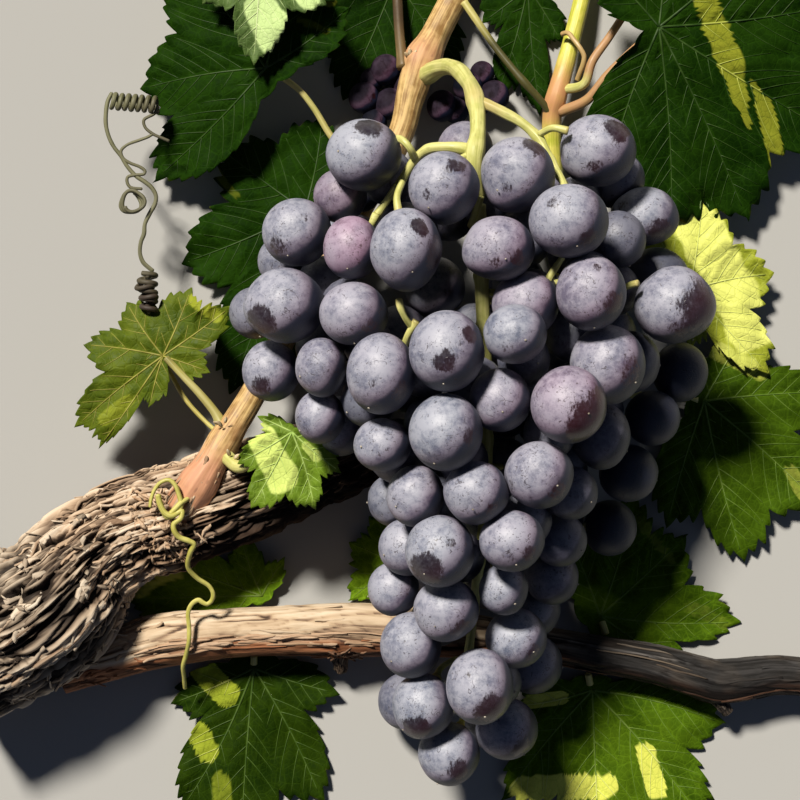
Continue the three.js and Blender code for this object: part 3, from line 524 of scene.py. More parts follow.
# ------------------------------------------------------------------ materials
M = {
    "berry": berry_material("grape_skin"),
    # painted shade: the small berries' wax is near black, for the shade they lie in
    "small": berry_material("painted_shade_small_grape_skin", bloom=(0.0012, 0.0018, 0.0042), pale=(0.0034, 0.0046, 0.0105), skin=(0.001, 0.001, 0.002), extra=0.08, matt=0.25),
    "scar": plain_skin("grape_scar", (0.20, 0.17, 0.13), (0.42, 0.38, 0.32), 900, 0.6),
    "bark": bark_material("old_bark", (
        [(0.0, (0.006, 0.004, 0.003)), (0.22, (0.030, 0.021, 0.015)), (0.40, (0.155, 0.118, 0.085)), (0.60, (0.33, 0.265, 0.200)), (0.82, (0.48, 0.400, 0.310)), (1.0, (0.60, 0.52, 0.42))],
        [(0.0, (0.008, 0.004, 0.002)), (0.30, (0.060, 0.030, 0.016)), (0.52, (0.235, 0.135, 0.075)), (0.76, (0.43, 0.285, 0.175)), (1.0, (0.58, 0.43, 0.30))])),
    # the cane's second ramp is painted shade: near black greys for its right part, where the bunch shades it
    "cane": bark_material("cane_bark", (
        [(0.0, (0.014, 0.008, 0.005)), (0.22, (0.115, 0.072, 0.046)), (0.42, (0.29, 0.195, 0.125)), (0.62, (0.43, 0.315, 0.205)), (0.84, (0.53, 0.410, 0.285)), (1.0, (0.61, 0.50, 0.37))],
        [(0.0, (0.005, 0.004, 0.004)), (0.28, (0.0075, 0.0065, 0.0060)), (0.50, (0.015, 0.0135, 0.013)), (0.72, (0.028, 0.026, 0.026)), (0.90, (0.058, 0.054, 0.052)), (1.0, (0.110, 0.100, 0.094))]), rough=0.82, hair=1800.0),
    "cut": plain_skin("cut_wood", (0.36, 0.23, 0.11), (0.58, 0.43, 0.25), 420, 0.75, 0.0004),
    "pith": plain_skin("pith", (0.16, 0.085, 0.04), (0.26, 0.15, 0.07), 500, 0.85, 0.0004),
    "shoot": stem_material("ripening_shoot", (0.250, 0.135, 0.040), (0.62, 0.43, 0.175), red=(0.50, 0.225, 0.135), rough=0.58, spots=0.4),
    "second": stem_material("green_shoot", (0.38, 0.40, 0.035), (0.66, 0.64, 0.11), red=(0.52, 0.255, 0.110), rough=0.48, spots=0.15),
    "green": stem_material("green_stem", (0.40, 0.40, 0.110), (0.59, 0.57, 0.215), red=(0.38, 0.21, 0.095), rough=0.48, spots=0.2),
    "thin": stem_material("thin_stem", (0.38, 0.34, 0.09), (0.52, 0.46, 0.17), red=(0.062, 0.056, 0.013), rough=0.5),
    "red": stem_material("red_stem", (0.110, 0.070, 0.024), (0.195, 0.128, 0.045), red=(0.040, 0.021, 0.008), rough=0.60),
    "tendril": stem_material("tendril_green", (0.36, 0.33, 0.06), (0.56, 0.52, 0.15), red=(0.20, 0.11, 0.035), rough=0.5),
    "dry": stem_material("tendril_dry", (0.110, 0.110, 0.052), (0.200, 0.195, 0.105), red=(0.030, 0.018, 0.012), rough=0.6),
    "vein_dark": vein_material("vein_of_dark_leaf", (0.014, 0.040, 0.003), (0.028, 0.064, 0.006), (0.34, 0.37, 0.060)),
    "vein_mid": vein_material("vein_of_mid_leaf", (0.030, 0.064, 0.006), (0.052, 0.094, 0.010), (0.38, 0.42, 0.080)),
    "vein_soft": vein_material("vein_of_soft_leaf", (0.070, 0.130, 0.014), (0.110, 0.175, 0.024), (0.60, 0.63, 0.18)),
    "vein_fresh": vein_material("vein_of_fresh_leaf", (0.085, 0.155, 0.016), (0.130, 0.205, 0.028), (0.60, 0.63, 0.18)),
    "vein_clear": vein_material("vein_of_clear_leaf", (0.130, 0.210, 0.025), (0.190, 0.270, 0.040), (0.60, 0.63, 0.18)),
    "vein_light": vein_material("vein_of_light_leaf", (0.28, 0.33, 0.060), (0.40, 0.45, 0.10), (0.52, 0.56, 0.16)),
    "vein_pale": vein_material("vein_of_pale_leaf", (0.30, 0.40, 0.16), (0.42, 0.52, 0.24), (0.55, 0.63, 0.34)),
    "vein_olive": vein_material("vein_of_olive_leaf", (0.20, 0.19, 0.030), (0.30, 0.28, 0.055), (0.42, 0.42, 0.10)),
    "vein_young": vein_material("vein_of_young_leaf", (0.27, 0.41, 0.085), (0.37, 0.50, 0.14), (0.46, 0.58, 0.18)),
    "bract": plain_skin("bud_scale", (0.48, 0.36, 0.20), (0.66, 0.56, 0.38), 700, 0.7),
    "leaf_back": leaf_material("leaf_underside", (0.070, 0.120, 0.035), (0.115, 0.175, 0.058), (0.26, 0.34, 0.11), back=True, rough=0.62),
}
# one green in steps from dark to clear, plus lighter kinds: partly the leaves' own greens, partly painted light and
# shade for how lit each leaf is
LEAF_COLOURS = {
    "dark": ((0.0034, 0.0150, 0.0004), (0.0085, 0.0280, 0.0009), (0.200, 0.215, 0.018)),
    "mid": ((0.0062, 0.0175, 0.0005), (0.0145, 0.0310, 0.0009), (0.250, 0.300, 0.024)),
    "soft": ((0.018, 0.040, 0.0012), (0.038, 0.075, 0.0024), (0.620, 0.640, 0.110)),
    "fresh": ((0.030, 0.066, 0.0020), (0.060, 0.112, 0.0036), (0.620, 0.640, 0.110)),
    "clear": ((0.060, 0.120, 0.0040), (0.110, 0.190, 0.0070), (0.620, 0.640, 0.110)),
    "light": ((0.170, 0.205, 0.012), (0.300, 0.335, 0.028), (0.60, 0.63, 0.150)),
    "pale": ((0.040, 0.076, 0.015), (0.068, 0.115, 0.028), (0.46, 0.60, 0.25)),
    "olive": ((0.034, 0.060, 0.0028), (0.082, 0.112, 0.0055), (0.27, 0.30, 0.024)),
    "young": ((0.066, 0.120, 0.006), (0.120, 0.200, 0.014), (0.50, 0.60, 0.155)),
}
for key, (a, b, c) in LEAF_COLOURS.items():
    dull = key in ("dark", "mid", "soft", "fresh", "clear")
    M["leaf_" + key] = leaf_material("leaf_" + key, a, b, c, rough=0.66 if dull else 0.55, gloss=0.03 if dull else 0.11, relief=0.30 if dull else 0.42,
                                       line=tuple(k * m for k, m in zip((2.6, 2.5, 3.0), b)) if dull else None)
# painted light and shade: these leaves take a lighter or darker green than their kind to match how much light falls on
# each, lighter where the bunch or the arm shades them
LOOKS = {"bottom_left_leaf": "mid", "bottom_right_leaf": "fresh", "lower_right_leaf": "fresh", "right_leaf": "soft", "inner_left_leaf": "clear", "inner_leaf": "clear", "top_left_leaf": "pale"}


# ------------------------------------------------------------------ wood
def woody(rows, rings, sides, strip, depth, seed, fine=0.25, lumps=1.5, wander=0.35, small=(0.45, 0.40), split_width=0.10, sharp=0.42, cracks=1.0, skew=0.0):
    """A limb with shaggy bark: plates that stand at uneven heights with deep splits between them, and smaller ones on them."""
    p, s, r, v = limb(rows, rings, soften=max(2, rings // 60))
    a = 2 * np.pi * np.arange(sides) / sides
    rr = r[:, None] + 0 * a[None]
    ss = s[:, None] + 0 * a[None]
    mean = float(np.mean(r))
    ring = np.stack([ss, mean * np.cos(a)[None] + 0 * ss, mean * np.sin(a)[None] + 0 * ss], -1)
    bend = fbm(ring / np.array([26.0, 9, 9]), 3, seed)
    aa = a[None] + wander * bend + (0.004 * math.sin(seed) + skew) * ss
    round_ = np.stack([ss, mean * np.cos(aa), mean * np.sin(aa)], -1)
    long_, wide = strip
    _, edge, ident = cells(round_ / np.array([long_, wide, wide]) + 5.1, seed + 3, 0.95)
    _, edge2, ident2 = cells(round_ / np.array([long_ * small[0], wide * small[1], wide * small[1]]) + 9.7, seed + 8, 0.95)
    split = np.exp(-(edge / split_width) ** 2)
    split2 = np.exp(-(edge2 / (split_width * 1.3)) ** 2)
    slow = fbm(ring / np.array([30.0, 12, 12]), 3, seed + 20)
    hair = 1 - np.abs(fbm(round_ / np.array([11.0, 1.15, 1.15]), 3, seed + 40))
    gap = smooth(0.0, 0.45, fbm(ring / np.array([20.0, 5, 5]), 2, seed + 60))
    high = 0.62 * (ident - 0.45) + 0.34 * (ident2 - 0.5) - 0.95 * split * (0.45 + gap) * cracks - sharp * split2 + 0.9 * fine * (hair - 0.6)
    dr = depth * high + lumps * slow
    low = smooth(-0.80, 0.72, high)
    return dict(p=p, s=s, r=r, a=a, rr=rr + dr, ss=ss, low=low, ident=ident, mean=mean, v=v, ring=ring)


def place_on(w, s, a, lift=0.0):
    """A place on the limb w, at length s and angle a, that far outside its bark."""
    n = len(w["s"])
    f = np.clip(s / w["s"][-1], 0, 1) * (n - 1)
    i = np.minimum(f.astype(int), n - 2)
    e = f - i
    sides = len(w["a"])
    k = (a / (2 * np.pi) * sides) % sides
    k0 = np.floor(k).astype(int) % sides
    k1 = (k0 + 1) % sides
    h = k - np.floor(k)
    r = (w["rr"][i, k0] * (1 - e) * (1 - h) + w["rr"][i + 1, k0] * e * (1 - h) + w["rr"][i, k1] * (1 - e) * h + w["rr"][i + 1, k1] * e * h)
    if "fr" not in w:
        w["fr"] = frames(w["p"])
    t, nn, b = w["fr"]
    mix = lambda x: x[i] * (1 - e)[:, None] + x[i + 1] * e[:, None]
    out = unit(mix(nn) * np.cos(a)[:, None] + mix(b) * np.sin(a)[:, None])
    return mix(w["p"]) + out * (r + lift)[:, None], out, unit(mix(t))


def woody_piece(w, bag, tone, red=0.0):
    rings, sides = w["rr"].shape
    t, n, b = frames(w["p"])
    a = w["a"]
    v = w["p"][:, None] + w["rr"][..., None] * (n[:, None] * np.cos(a)[None, :, None] + b[:, None] * np.sin(a)[None, :, None])
    flow = np.stack([w["ss"], w["mean"] * np.cos(a)[None] + 0 * w["ss"], w["mean"] * np.sin(a)[None] + 0 * w["ss"]], -1) / 1000
    v[..., 2] = np.maximum(v[..., 2], 0.15)
    f = grid_faces(rings, sides)
    verts, faces, flows = [v.reshape(-1, 3)], [f], [flow.reshape(-1, 3)]
    high, tones = [w["low"].ravel()], [np.broadcast_to(tone, v.shape[:2]).ravel()]
    reds = [np.broadcast_to(red, v.shape[:2]).ravel()]
    mats = [np.zeros(len(f), int)]
    count = rings * sides
    for end in (0, -1):
        # a sawn end: a slightly rough face with growth rings and a pith
        ring = v[end]
        centre = ring.mean(0)
        axis = t[end] * (1 if end else -1)
        base = (rings - 1) * sides if end else 0
        last = base + np.arange(sides)
        k = np.arange(sides)
        for j, share in enumerate((0.93, 0.72, 0.5, 0.3, 0.14)):
            new = centre + (ring - centre) * share + axis * (0.25 if j else 0.12) * (1 + 0.5 * noise(ring * 0.6 + j, 5)[:, None])
            verts.append(new)
            flows.append(np.broadcast_to(flow[end], new.shape))
            high.append(np.full(sides, 0.5))
            tones.append(np.zeros(sides))
            reds.append(np.zeros(sides))
            here = count + k
            count += sides
            q = np.concatenate([np.stack([last[k], last[(k + 1) % sides], here[(k + 1) % sides]], -1), np.stack([last[k], here[(k + 1) % sides], here[k]], -1)])
            faces.append(q if end else q[:, [0, 2, 1]])
            mats.append(np.full(len(q), 0 if j == 0 else 1))
            last = here
        verts.append((centre + axis * 0.1)[None])
        flows.append(flow[end][:1])
        high.append([0.2])
        tones.append([0])
        reds.append([0])
        q = np.stack([last[k], last[(k + 1) % sides], np.full(sides, count)], -1)
        faces.append(q if end else q[:, [0, 2, 1]])
        mats.append(np.full(len(q), 2))
        count += 1
    bag.add(np.vstack(verts), np.vstack(faces), np.concatenate(mats), flow=np.vstack(flows), high=np.concatenate([np.ravel(x) for x in high]), tone=np.concatenate([np.ravel(x) for x in tones]),
            red=np.concatenate([np.ravel(x) for x in reds]))


def strips(w, bag, count, length, width, seed, tone=lambda s: 0.0, lift=1.2, skew=0.12, region=None, steps=14, shades=(0.50, 0.92), red=lambda a: 0.0, blunt=0.35, kinds=(0.42, 0.42, 0.16)):
    """Loose bark ribbons that cling at one end or in the middle and stand off at the other."""
    rng = np.random.default_rng(seed)
    total = w["s"][-1]
    for i in range(count):
        s0 = rng.uniform(0.01, 0.97) * total
        a0 = rng.uniform(0, 2 * np.pi)
        if region:
            s0, a0 = region(rng, total)
        ln = rng.uniform(*length)
        wd = rng.uniform(*width)
        s1 = min(total * 0.992, s0 + ln)
        q = np.linspace(0, 1, steps)
        wob = fbm(np.stack([q * 2.2, np.full(steps, i * 3.1), np.zeros(steps)], -1), 2, seed)
        a = a0 + skew * rng.uniform(-1, 1) * q + 0.10 * wob
        s = s0 + (s1 - s0) * q
        free = rng.choice([0, 1, 2], p=list(kinds))
        k = {0: smooth(0.45, 1.0, q) ** 1.6, 1: smooth(0.55, 0.0, q) ** 1.6, 2: np.sin(np.pi * q) ** 1.2 * 0.5}[free]
        up = 0.12 + lift * rng.uniform(0.2, 1.0) * k
        place, out, along = place_on(w, s, a, up)
        side = unit(np.cross(along, out))
        half = 0.5 * wd * (np.clip(np.sin(np.pi * np.clip(q, 0.03, 0.97)), 0, 1) ** blunt) * (1 + 0.35 * fbm(np.stack([q * 6, np.full(steps, i * 1.7), np.zeros(steps)], -1), 2, seed + 5))
        thick = 0.22 + 0.10 * rng.random()
        cup = 0.16 * wd
        ring = [place - side * half[:, None] - out * (thick + cup * 0.6), place - side * (half * 0.5)[:, None] + out * 0, place + side * (half * 0.5)[:, None] + out * 0.02,
                place + side * half[:, None] - out * (thick + cup * 0.6), place + side * (half * 0.55)[:, None] - out * (thick * 1.8), place - side * (half * 0.55)[:, None] - out * (thick * 1.8)]
        v = np.stack(ring, 1).reshape(-1, 3)
        v[:, 2] = np.maximum(v[:, 2], 0.12)
        n = 6
        f = grid_faces(steps, n)
        e = (steps - 1) * n
        f = np.concatenate([f, [[0, k + 1, k] for k in range(1, n - 1)], [[e, e + k, e + k + 1] for k in range(1, n - 1)]])
        flow = np.stack([np.repeat(s, n), np.repeat(w["mean"] * np.cos(a), n), np.repeat(w["mean"] * np.sin(a), n) + np.tile(np.array([-1, -0.5, 0.5, 1, 0.5, -0.5]) * 0.5 * wd, steps)], -1) / 1000
        shade = rng.uniform(*shades)
        # each ribbon lighter on its top and darker on its edges and underside: partly painted shade
        high = np.tile(np.array([0.62, 1, 1, 0.62, 0.3, 0.3]), steps) * shade
        bag.add(v, f, 0, flow=flow, high=high, tone=float(np.clip(tone(s0) + rng.uniform(-0.12, 0.2), 0, 1)), red=float(red(a0)))


arm = woody(ARM, 260, 276, (24.0, 2.9), 2.7, 11, fine=0.30, lumps=1.5, wander=0.14, small=(0.55, 0.46), split_width=0.12, sharp=0.45, cracks=1.25)
# long black fissures run along it, a little askew, cut in and painted darker: partly painted shade
crack = cells(arm["ring"] / np.array([46.0, 7.0, 7.0]) + 3.3, 91, 0.9)[1]
fissure = np.exp(-(crack / 0.075) ** 2) * smooth(-0.15, 0.25, fbm(arm["ring"] / np.array([30.0, 8, 8]), 2, 93))
arm["rr"] -= 2.6 * fissure
arm["low"] *= 1 - 0.85 * fissure
lower_left = smooth(66, 40, arm["ss"])
bag = Bag()
sun_side = fbm(np.stack([arm["ss"] / 34, np.cos(arm["a"])[None] * 1.4 + 0 * arm["ss"], np.sin(arm["a"])[None] * 1.4 + 0 * arm["ss"]], -1), 3, 77)
# painted shade: the arm darker towards its right end, where it lies in shade behind the bunch; its lower left end is a
# little darker too
arm["low"] = np.clip((arm["low"] + 0.12) * (1.16 - 0.22 * lower_left - 0.72 * smooth(112, 138, arm["ss"])), 0, 1)
turn = (arm["a"] + np.pi) % (2 * np.pi) - np.pi
painted_shade_below = smooth(0.0, 0.55, turn)[None] * smooth(2.9, 2.4, np.abs(turn))[None] * smooth(80, 92, arm["ss"])      # painted shade: the lower side beyond the shoot darkened
arm["low"] *= 1 - 0.74 * painted_shade_below
woody_piece(arm, bag, np.clip(0.50 + 0.7 * sun_side - 0.6 * lower_left, 0, 1))
build(bag, "old_arm_bark", [M["bark"], M["cut"], M["pith"]], ["old_arm"])
bag = Bag()
arm_end = float(arm["s"][-1])
part_of = lambda lo, hi: (lambda rng, total: (rng.uniform(lo, hi), rng.uniform(0, 2 * np.pi)))
strips(arm, bag, 190, (6, 20), (1.0, 2.7), 21, tone=lambda s: 0.55, lift=1.0, skew=0.14, region=lambda rng, total: (rng.uniform(46, 84), rng.uniform(0, 2 * np.pi)), steps=10, shades=(0.46, 0.94), blunt=0.22)
# painted shade: dark ribbons on the right part of the arm, which lies in shade
strips(arm, bag, 90, (6, 20), (0.8, 2.2), 25, tone=lambda s: 0.7, lift=1.2, skew=0.14, region=part_of(arm_end * 0.66, arm_end * 0.97), steps=10, shades=(0.08, 0.36), blunt=0.22)
strips(arm, bag, 60, (12, 34), (0.9, 2.6), 22, tone=lambda s: 0.45, lift=1.5, skew=0.16, region=part_of(2, arm_end * 0.60), steps=14, shades=(0.40, 0.86))
strips(arm, bag, 250, (2.5, 6.5), (1.4, 3.0), 23, tone=lambda s: 0.05, lift=2.0, skew=0.20, region=part_of(1, 62), steps=5, shades=(0.34, 1.0), blunt=0.08, kinds=(0.46, 0.46, 0.08))
# reddish flakes that peel where the shoot comes out
joint = float(arm["s"][np.argmin(np.abs(arm["p"][:, 0] - at(176, 512, 30)[0]))])
strips(arm, bag, 46, (3, 9), (1.0, 2.6), 24, tone=lambda s: 0.95, lift=2.6, skew=0.5, region=lambda rng, total: (joint + rng.uniform(-13, 3), rng.uniform(-0.75, 0.95)), steps=8, shades=(0.62, 1.0), blunt=0.2)
build(bag, "old_arm_strips", [M["bark"]])
bag = Bag()
strips(arm, bag, 30, (3, 8), (1.4, 3.0), 26, tone=lambda s: 0.0, lift=2.2, skew=0.4, region=lambda rng, total: (joint + rng.uniform(-15, -2), rng.uniform(-0.55, 0.75)), steps=8, shades=(0.72, 1.0), blunt=0.2, red=lambda a: 0.25)
build(bag, "pale_flakes", [M["cane"]])

cane = woody(CANE[:-4] + [[716, 681, 11.5, 45]] + CANE[-3:], 420, 92, (52.0, 4.4), 0.62, 31, fine=0.34, lumps=0.42, wander=0.14, small=(0.36, 0.40), split_width=0.055, sharp=0.20, cracks=1.0)
# painted shade: from about the middle to the right the cane turns towards its second ramp, where the bunch shades it
along = np.clip((cane["p"][:, 0] - 22) / 45, 0, 1)
angle = (cane["a"] + np.pi) % (2 * np.pi) - np.pi       # 0 on top, above 0 on the side that the shoots leave behind
wob = fbm(np.stack([cane["ss"] / 30, 0 * cane["ss"], 0 * cane["ss"]], -1), 3, 35)
under = smooth(-0.10, 0.22, angle[None] - 0.22 - 0.55 * wob) * smooth(2.9, 2.4, np.abs(angle))[None]
line = np.exp(-(((angle[None] - 0.22 - 0.55 * wob) * cane["mean"]) / 0.45) ** 2) * smooth(20, 30, cane["ss"]) * smooth(106, 92, cane["ss"])
cane["rr"] -= 1.0 * line
# painted light and shade: the top of the cane a little lighter and its under side darker; the split line darker, partly
# painted shade
cane["low"] = np.clip(cane["low"] * (1 - 0.9 * line) + 0.10 * (1 - under) - 0.06 * under, 0, 1)
bag = Bag()
woody_piece(cane, bag, np.clip(along[:, None] * 0.98 + 0.10 * fbm(np.stack([cane["ss"] / 8, np.cos(cane["a"])[None] + 0 * cane["ss"], np.sin(cane["a"])[None] + 0 * cane["ss"]], -1), 2, 9), 0, 1), red=under)
build(bag, "lower_cane_bark", [M["cane"], M["cut"], M["pith"]], ["lower_cane"])
bag = Bag()
cane_painted_shade = lambda s: float(np.interp(s, cane["s"], along)) * 0.9
below = lambda a: 1.0 if 0.2 < (a + np.pi) % (2 * np.pi) - np.pi < 2.6 else 0.0
strips(cane, bag, 60, (9, 36), (0.5, 1.5), 41, tone=cane_painted_shade, lift=0.7, skew=0.16, shades=(0.45, 0.9), red=below)
# peeling edges along the split, and fine fibres on the under side
strips(cane, bag, 34, (7, 24), (0.6, 1.6), 42, tone=cane_painted_shade, lift=1.1, skew=0.10, region=lambda rng, total: (rng.uniform(20, 104), rng.uniform(0.0, 0.55)), shades=(0.5, 0.95), red=lambda a: 0.35)
# a ragged tuft of bark where a spur was torn off
spot = float(cane["s"][np.argmin(np.abs(cane["p"][:, 0] - at(336, 630, 12)[0]))])
strips(cane, bag, 22, (3, 9), (0.7, 2.0), 43, tone=lambda s: 0.30, lift=2.2, skew=0.7, region=lambda rng, total: (spot + rng.uniform(-4, 3), rng.uniform(0.8, 1.9)), steps=8, shades=(0.3, 0.75), red=lambda a: 0.6)
# chips on the swollen left end
strips(cane, bag, 30, (2.5, 8), (0.8, 2.0), 44, tone=lambda s: 0.1, lift=1.6, skew=0.5, region=lambda rng, total: (rng.uniform(3, 30), rng.uniform(-1.3, 1.3)), steps=7, shades=(0.4, 0.95), blunt=0.15, red=below)
build(bag, "lower_cane_strips", [M["cane"]])

stub = woody(STUB, 44, 44, (6.0, 1.6), 0.9, 51, fine=0.4, lumps=0.5)
stub["rr"] *= np.linspace(0.95, 0.70, 44)[:, None]
stub["low"] *= 0.6
bag = Bag()
woody_piece(stub, bag, 0.6)
strips(stub, bag, 16, (2, 5), (0.6, 1.4), 52, tone=lambda s: 0.5, lift=1.2, skew=0.7, steps=7, shades=(0.25, 0.7))
build(bag, "cane_stub_bark", [M["cane"], M["cut"], M["pith"]], ["cane_stub"])

spur = woody([[707, 684, 11.5, 22], [717, 698, 11.0, 17], [728, 713, 10.5, 12]], 34, 34, (5.0, 1.4), 0.5, 57, fine=0.4, lumps=0.35)
bag = Bag()
woody_piece(spur, bag, 0.9)
build(bag, "broken_spur", [M["cane"], M["cut"], M["pith"]])


# ------------------------------------------------------------------ shoots, stems and stalks
def stem(bag, rows, rings, sides, nodes=(), ridges=9, relief=0.03, tone=None, seed=0, mat=0, lump=0.02, flare=None):
    p, s, r, v = limb(rows, rings, soften=max(1, rings // 50))
    a = 2 * np.pi * np.arange(sides) / sides
    ss, aa = s[:, None] + 0 * a[None], a[None] + 0 * s[:, None]
    mean = float(np.mean(r))
    q = np.stack([ss, mean * np.cos(aa), mean * np.sin(aa)], -1)
    rr = r[:, None] * (1 + relief * np.cos(ridges * aa + 1.2 * fbm(q / np.array([22.0, 4, 4]), 2, seed)) * (0.6 + 0.5 * fbm(q / 7.0, 2, seed + 4))
                       + lump * fbm(q / np.array([5.0, 2.5, 2.5]), 3, seed + 9))
    for where, size, width in nodes:
        rr = rr * (1 + size * np.exp(-((v[:, None] - where) / width) ** 2))
    if flare is not None:
        rr = rr * flare(s)[:, None]
    vv, f = sweep(p, rr, sides, dome=0.15)
    flow = np.vstack([q.reshape(-1, 3), q[0, :1], q[-1, :1]]) / 1000
    tt = np.zeros(rings) if tone is None else tone(v, s)
    tt = np.concatenate([np.repeat(tt, sides), tt[:1], tt[-1:]])
    bag.add(vv, f, mat, flow=flow, tone=tt)
    return p, s, r


bag = Bag()
shoot_line, _, shoot_r = stem(bag, [[173, 522, 21, 40]] + SHOOT, 430, 44, nodes=[(92, 0.10, 14), (60, 0.24, 13), (150, 0.06, 10), (441, 0.13, 12), (482, 0.15, 12), (300, 0.12, 9)], ridges=11, relief=0.035,
                  tone=lambda v, s: np.clip(0.80 * smooth(438, 470, v) + 0.55 * np.exp(-((v - 60) / 15) ** 2) + 0.20 * np.exp(-((v - 430) / 14) ** 2), 0, 1), seed=101)
# fibres of its base, which run out onto the arm
foot = dict(zip(("p", "s", "r", "v"), limb([[173, 522, 21, 40]] + SHOOT[:6], 120)))
foot.update(a=2 * np.pi * np.arange(24) / 24, rr=np.repeat(foot["r"][:, None], 24, 1), mean=float(np.mean(foot["r"])))
fibre_bag = Bag()
strips(foot, fibre_bag, 40, (4, 15), (0.6, 1.7), 103, tone=lambda s: 0.9, lift=0.9, skew=0.25, region=lambda rng, total: (rng.uniform(2, 22), rng.uniform(-1.9, 1.9)), steps=9, shades=(0.55, 0.95), blunt=0.2)
build(fibre_bag, "shoot_base_fibres", [M["bark"]])
build(bag, "fruiting_shoot_skin", [M["shoot"]], ["fruiting_shoot"])
bag = Bag()
stem(bag, SECOND[:7] + [[552, 117, 10, 19], [557, 95, 12, 20.5], [565, 66, 12, 18.5], [574, 31, 10, 17], [581.5, 0, 8, 17], [590, -40, 5, 15]], 300, 28, nodes=[(100, 0.08, 10), (560, 0.12, 9)], ridges=9, relief=0.035, tone=lambda v, s: np.clip(smooth(420, 600, v) * 0.95 + 0.85 * np.exp(-((v - 98) / 32) ** 4) + 0.10, 0, 1), seed=111)
build(bag, "second_shoot_skin", [M["second"]], ["second_shoot"])
bag = Bag()
# darker towards its foot, partly the stem's own brown-green and partly painted shade
stem(bag, [[556, 120, 11, 7], [540, 100, 13.5, 7.5], [523, 81, 15, 7.5], [496, 48, 13, 7], [464, 2, 10.5, 8]], 66, 14, nodes=[(81, 0.15, 6)], ridges=5, relief=0.04, tone=lambda v, s: smooth(14, 50, v), seed=121)
build(bag, "thin_shoot_skin", [M["thin"]], ["thin_shoot"])
bag = Bag()
stem(bag, [[408, 90, 7.0, 12], [418, 82, 11.5, 17], [428, 74, 17.5, 18.5], [440, 68, 25, 16.5], [453, 67.5, 34, 15.5], [466, 79, 46, 15.5], [475, 98, 57, 16], [478, 130, 65, 15.5]] + PEDUNCLE[6:], 130, 30, nodes=[(74, 0.10, 5), (100, 0.22, 9), (150, 0.20, 8)], ridges=7, relief=0.05, tone=lambda v, s: 0.30 * np.exp(-(s / 5) ** 2) + 0.30 * np.exp(-((v - 100) / 9) ** 2), seed=131, lump=0.05)
build(bag, "peduncle_skin", [M["green"]], ["peduncle"])
bag = Bag()
stem(bag, RACHIS, 170, 20, nodes=[(v, 0.22, 6) for v in (230, 275, 330, 385, 440, 500, 560, 610, 650)], ridges=5, relief=0.06, seed=141, lump=0.06)
build(bag, "rachis_skin", [M["green"]], ["rachis"])
bag = Bag()
stem(bag, [[472, 98, 56, 8], [486, 104, 59.5, 11], [506, 114, 61, 9.5], [523, 124, 62, 9.5], [538, 138, 63, 9], [549, 157, 66, 8.5], [560, 178, 71, 8]], 80, 20, nodes=[(114, 0.18, 5), (138, 0.26, 6), (160, 0.18, 5)], ridges=5, relief=0.06, seed=151, lump=0.06, tone=lambda v, s: 0.45 * np.exp(-((v - 104) / 8) ** 2))
build(bag, "right_wing_stem_skin", [M["green"]], ["right_wing_stem"])
bag = Bag()
stem(bag, [[474, 151, 67, 10], [460, 148, 67.5, 10], [446, 147, 67, 8.5], [428, 149, 65, 8.5], [416, 158, 63.5, 8.5], [402, 180, 61, 8], [391, 198, 57, 7]], 76, 20, nodes=[(149, 0.24, 3), (184, 0.2, 6)], ridges=5, relief=0.06, seed=161, lump=0.06)
build(bag, "left_wing_stem_skin", [M["green"]], ["left_wing_stem"])

RED_ENDS = {"upper_left_stalk": 0.35, "left_stalk": 0.55, "upper_right_stalk": 0.30, "side_stalk": 0.55, "young_stalk": 0.15}
bag = Bag()
for i, (name, rows) in enumerate(STALKS.items()):
    if name in ("red_stalk", "left_stalk"):
        continue
    hidden = {"side_stalk": [562, 90, 12, 10], "upper_right_stalk": [560, 112, 12, 11]}.get(name)
    rows = [hidden] + rows[1:] if hidden else rows       # its foot is inside the shoot
    much = RED_ENDS.get(name, 0.25)
    reddish = {"side_stalk": lambda v, s: smooth(84, 68, v), "upper_right_stalk": lambda v, s: 1.0 + 0 * s}.get(name, lambda v, s: much * (0.5 + 0.5 * smooth(s[-1] * 0.2, s[-1], s)))
    stem(bag, rows, max(16, 9 * len(rows)), 14, ridges=5, relief=0.05, tone=reddish, seed=170 + i)
# a thin hook-shaped tendril by the upper node
strandlet = [[562, 34, 15, 5], [568, 33, 17, 5], [574, 40, 18.5, 5], [580, 48, 19.5, 5], [584, 56, 19.5, 5], [583, 64, 19, 5], [580, 72, 18, 5], [577, 80, 16.5, 5]]
stem(bag, strandlet, 60, 10, ridges=4, relief=0.03, tone=lambda v, s: 0.75 + 0 * s, seed=199)
build(bag, "leaf_stalks", [M["green"]], [n for n in STALKS if n not in ("red_stalk", "left_stalk")])
bag = Bag()
stem(bag, STALKS["red_stalk"], 44, 18, nodes=[(66, 0.2, 6)], ridges=5, relief=0.05, tone=lambda v, s: 0.85 - 0.75 * smooth(15, 58, v), seed=190)
build(bag, "red_stalk_skin", [M["red"]], ["red_stalk"])
bag = Bag()
stem(bag, STALKS["left_stalk"], 60, 16, nodes=[(424, 0.25, 8)], ridges=5, relief=0.05, tone=lambda v, s: 0.25 + 0.4 * smooth(372, 356, v), seed=191)
build(bag, "left_stalk_skin", [M["thin"]], ["left_stalk"])


# ------------------------------------------------------------------ berries
def section(v):
    s = [float(np.interp(v, SECTIONS[:, 0], SECTIONS[:, k])) for k in range(1, 5)]
    return dict(u=s[0], w=s[1], z=s[2], h=s[3])


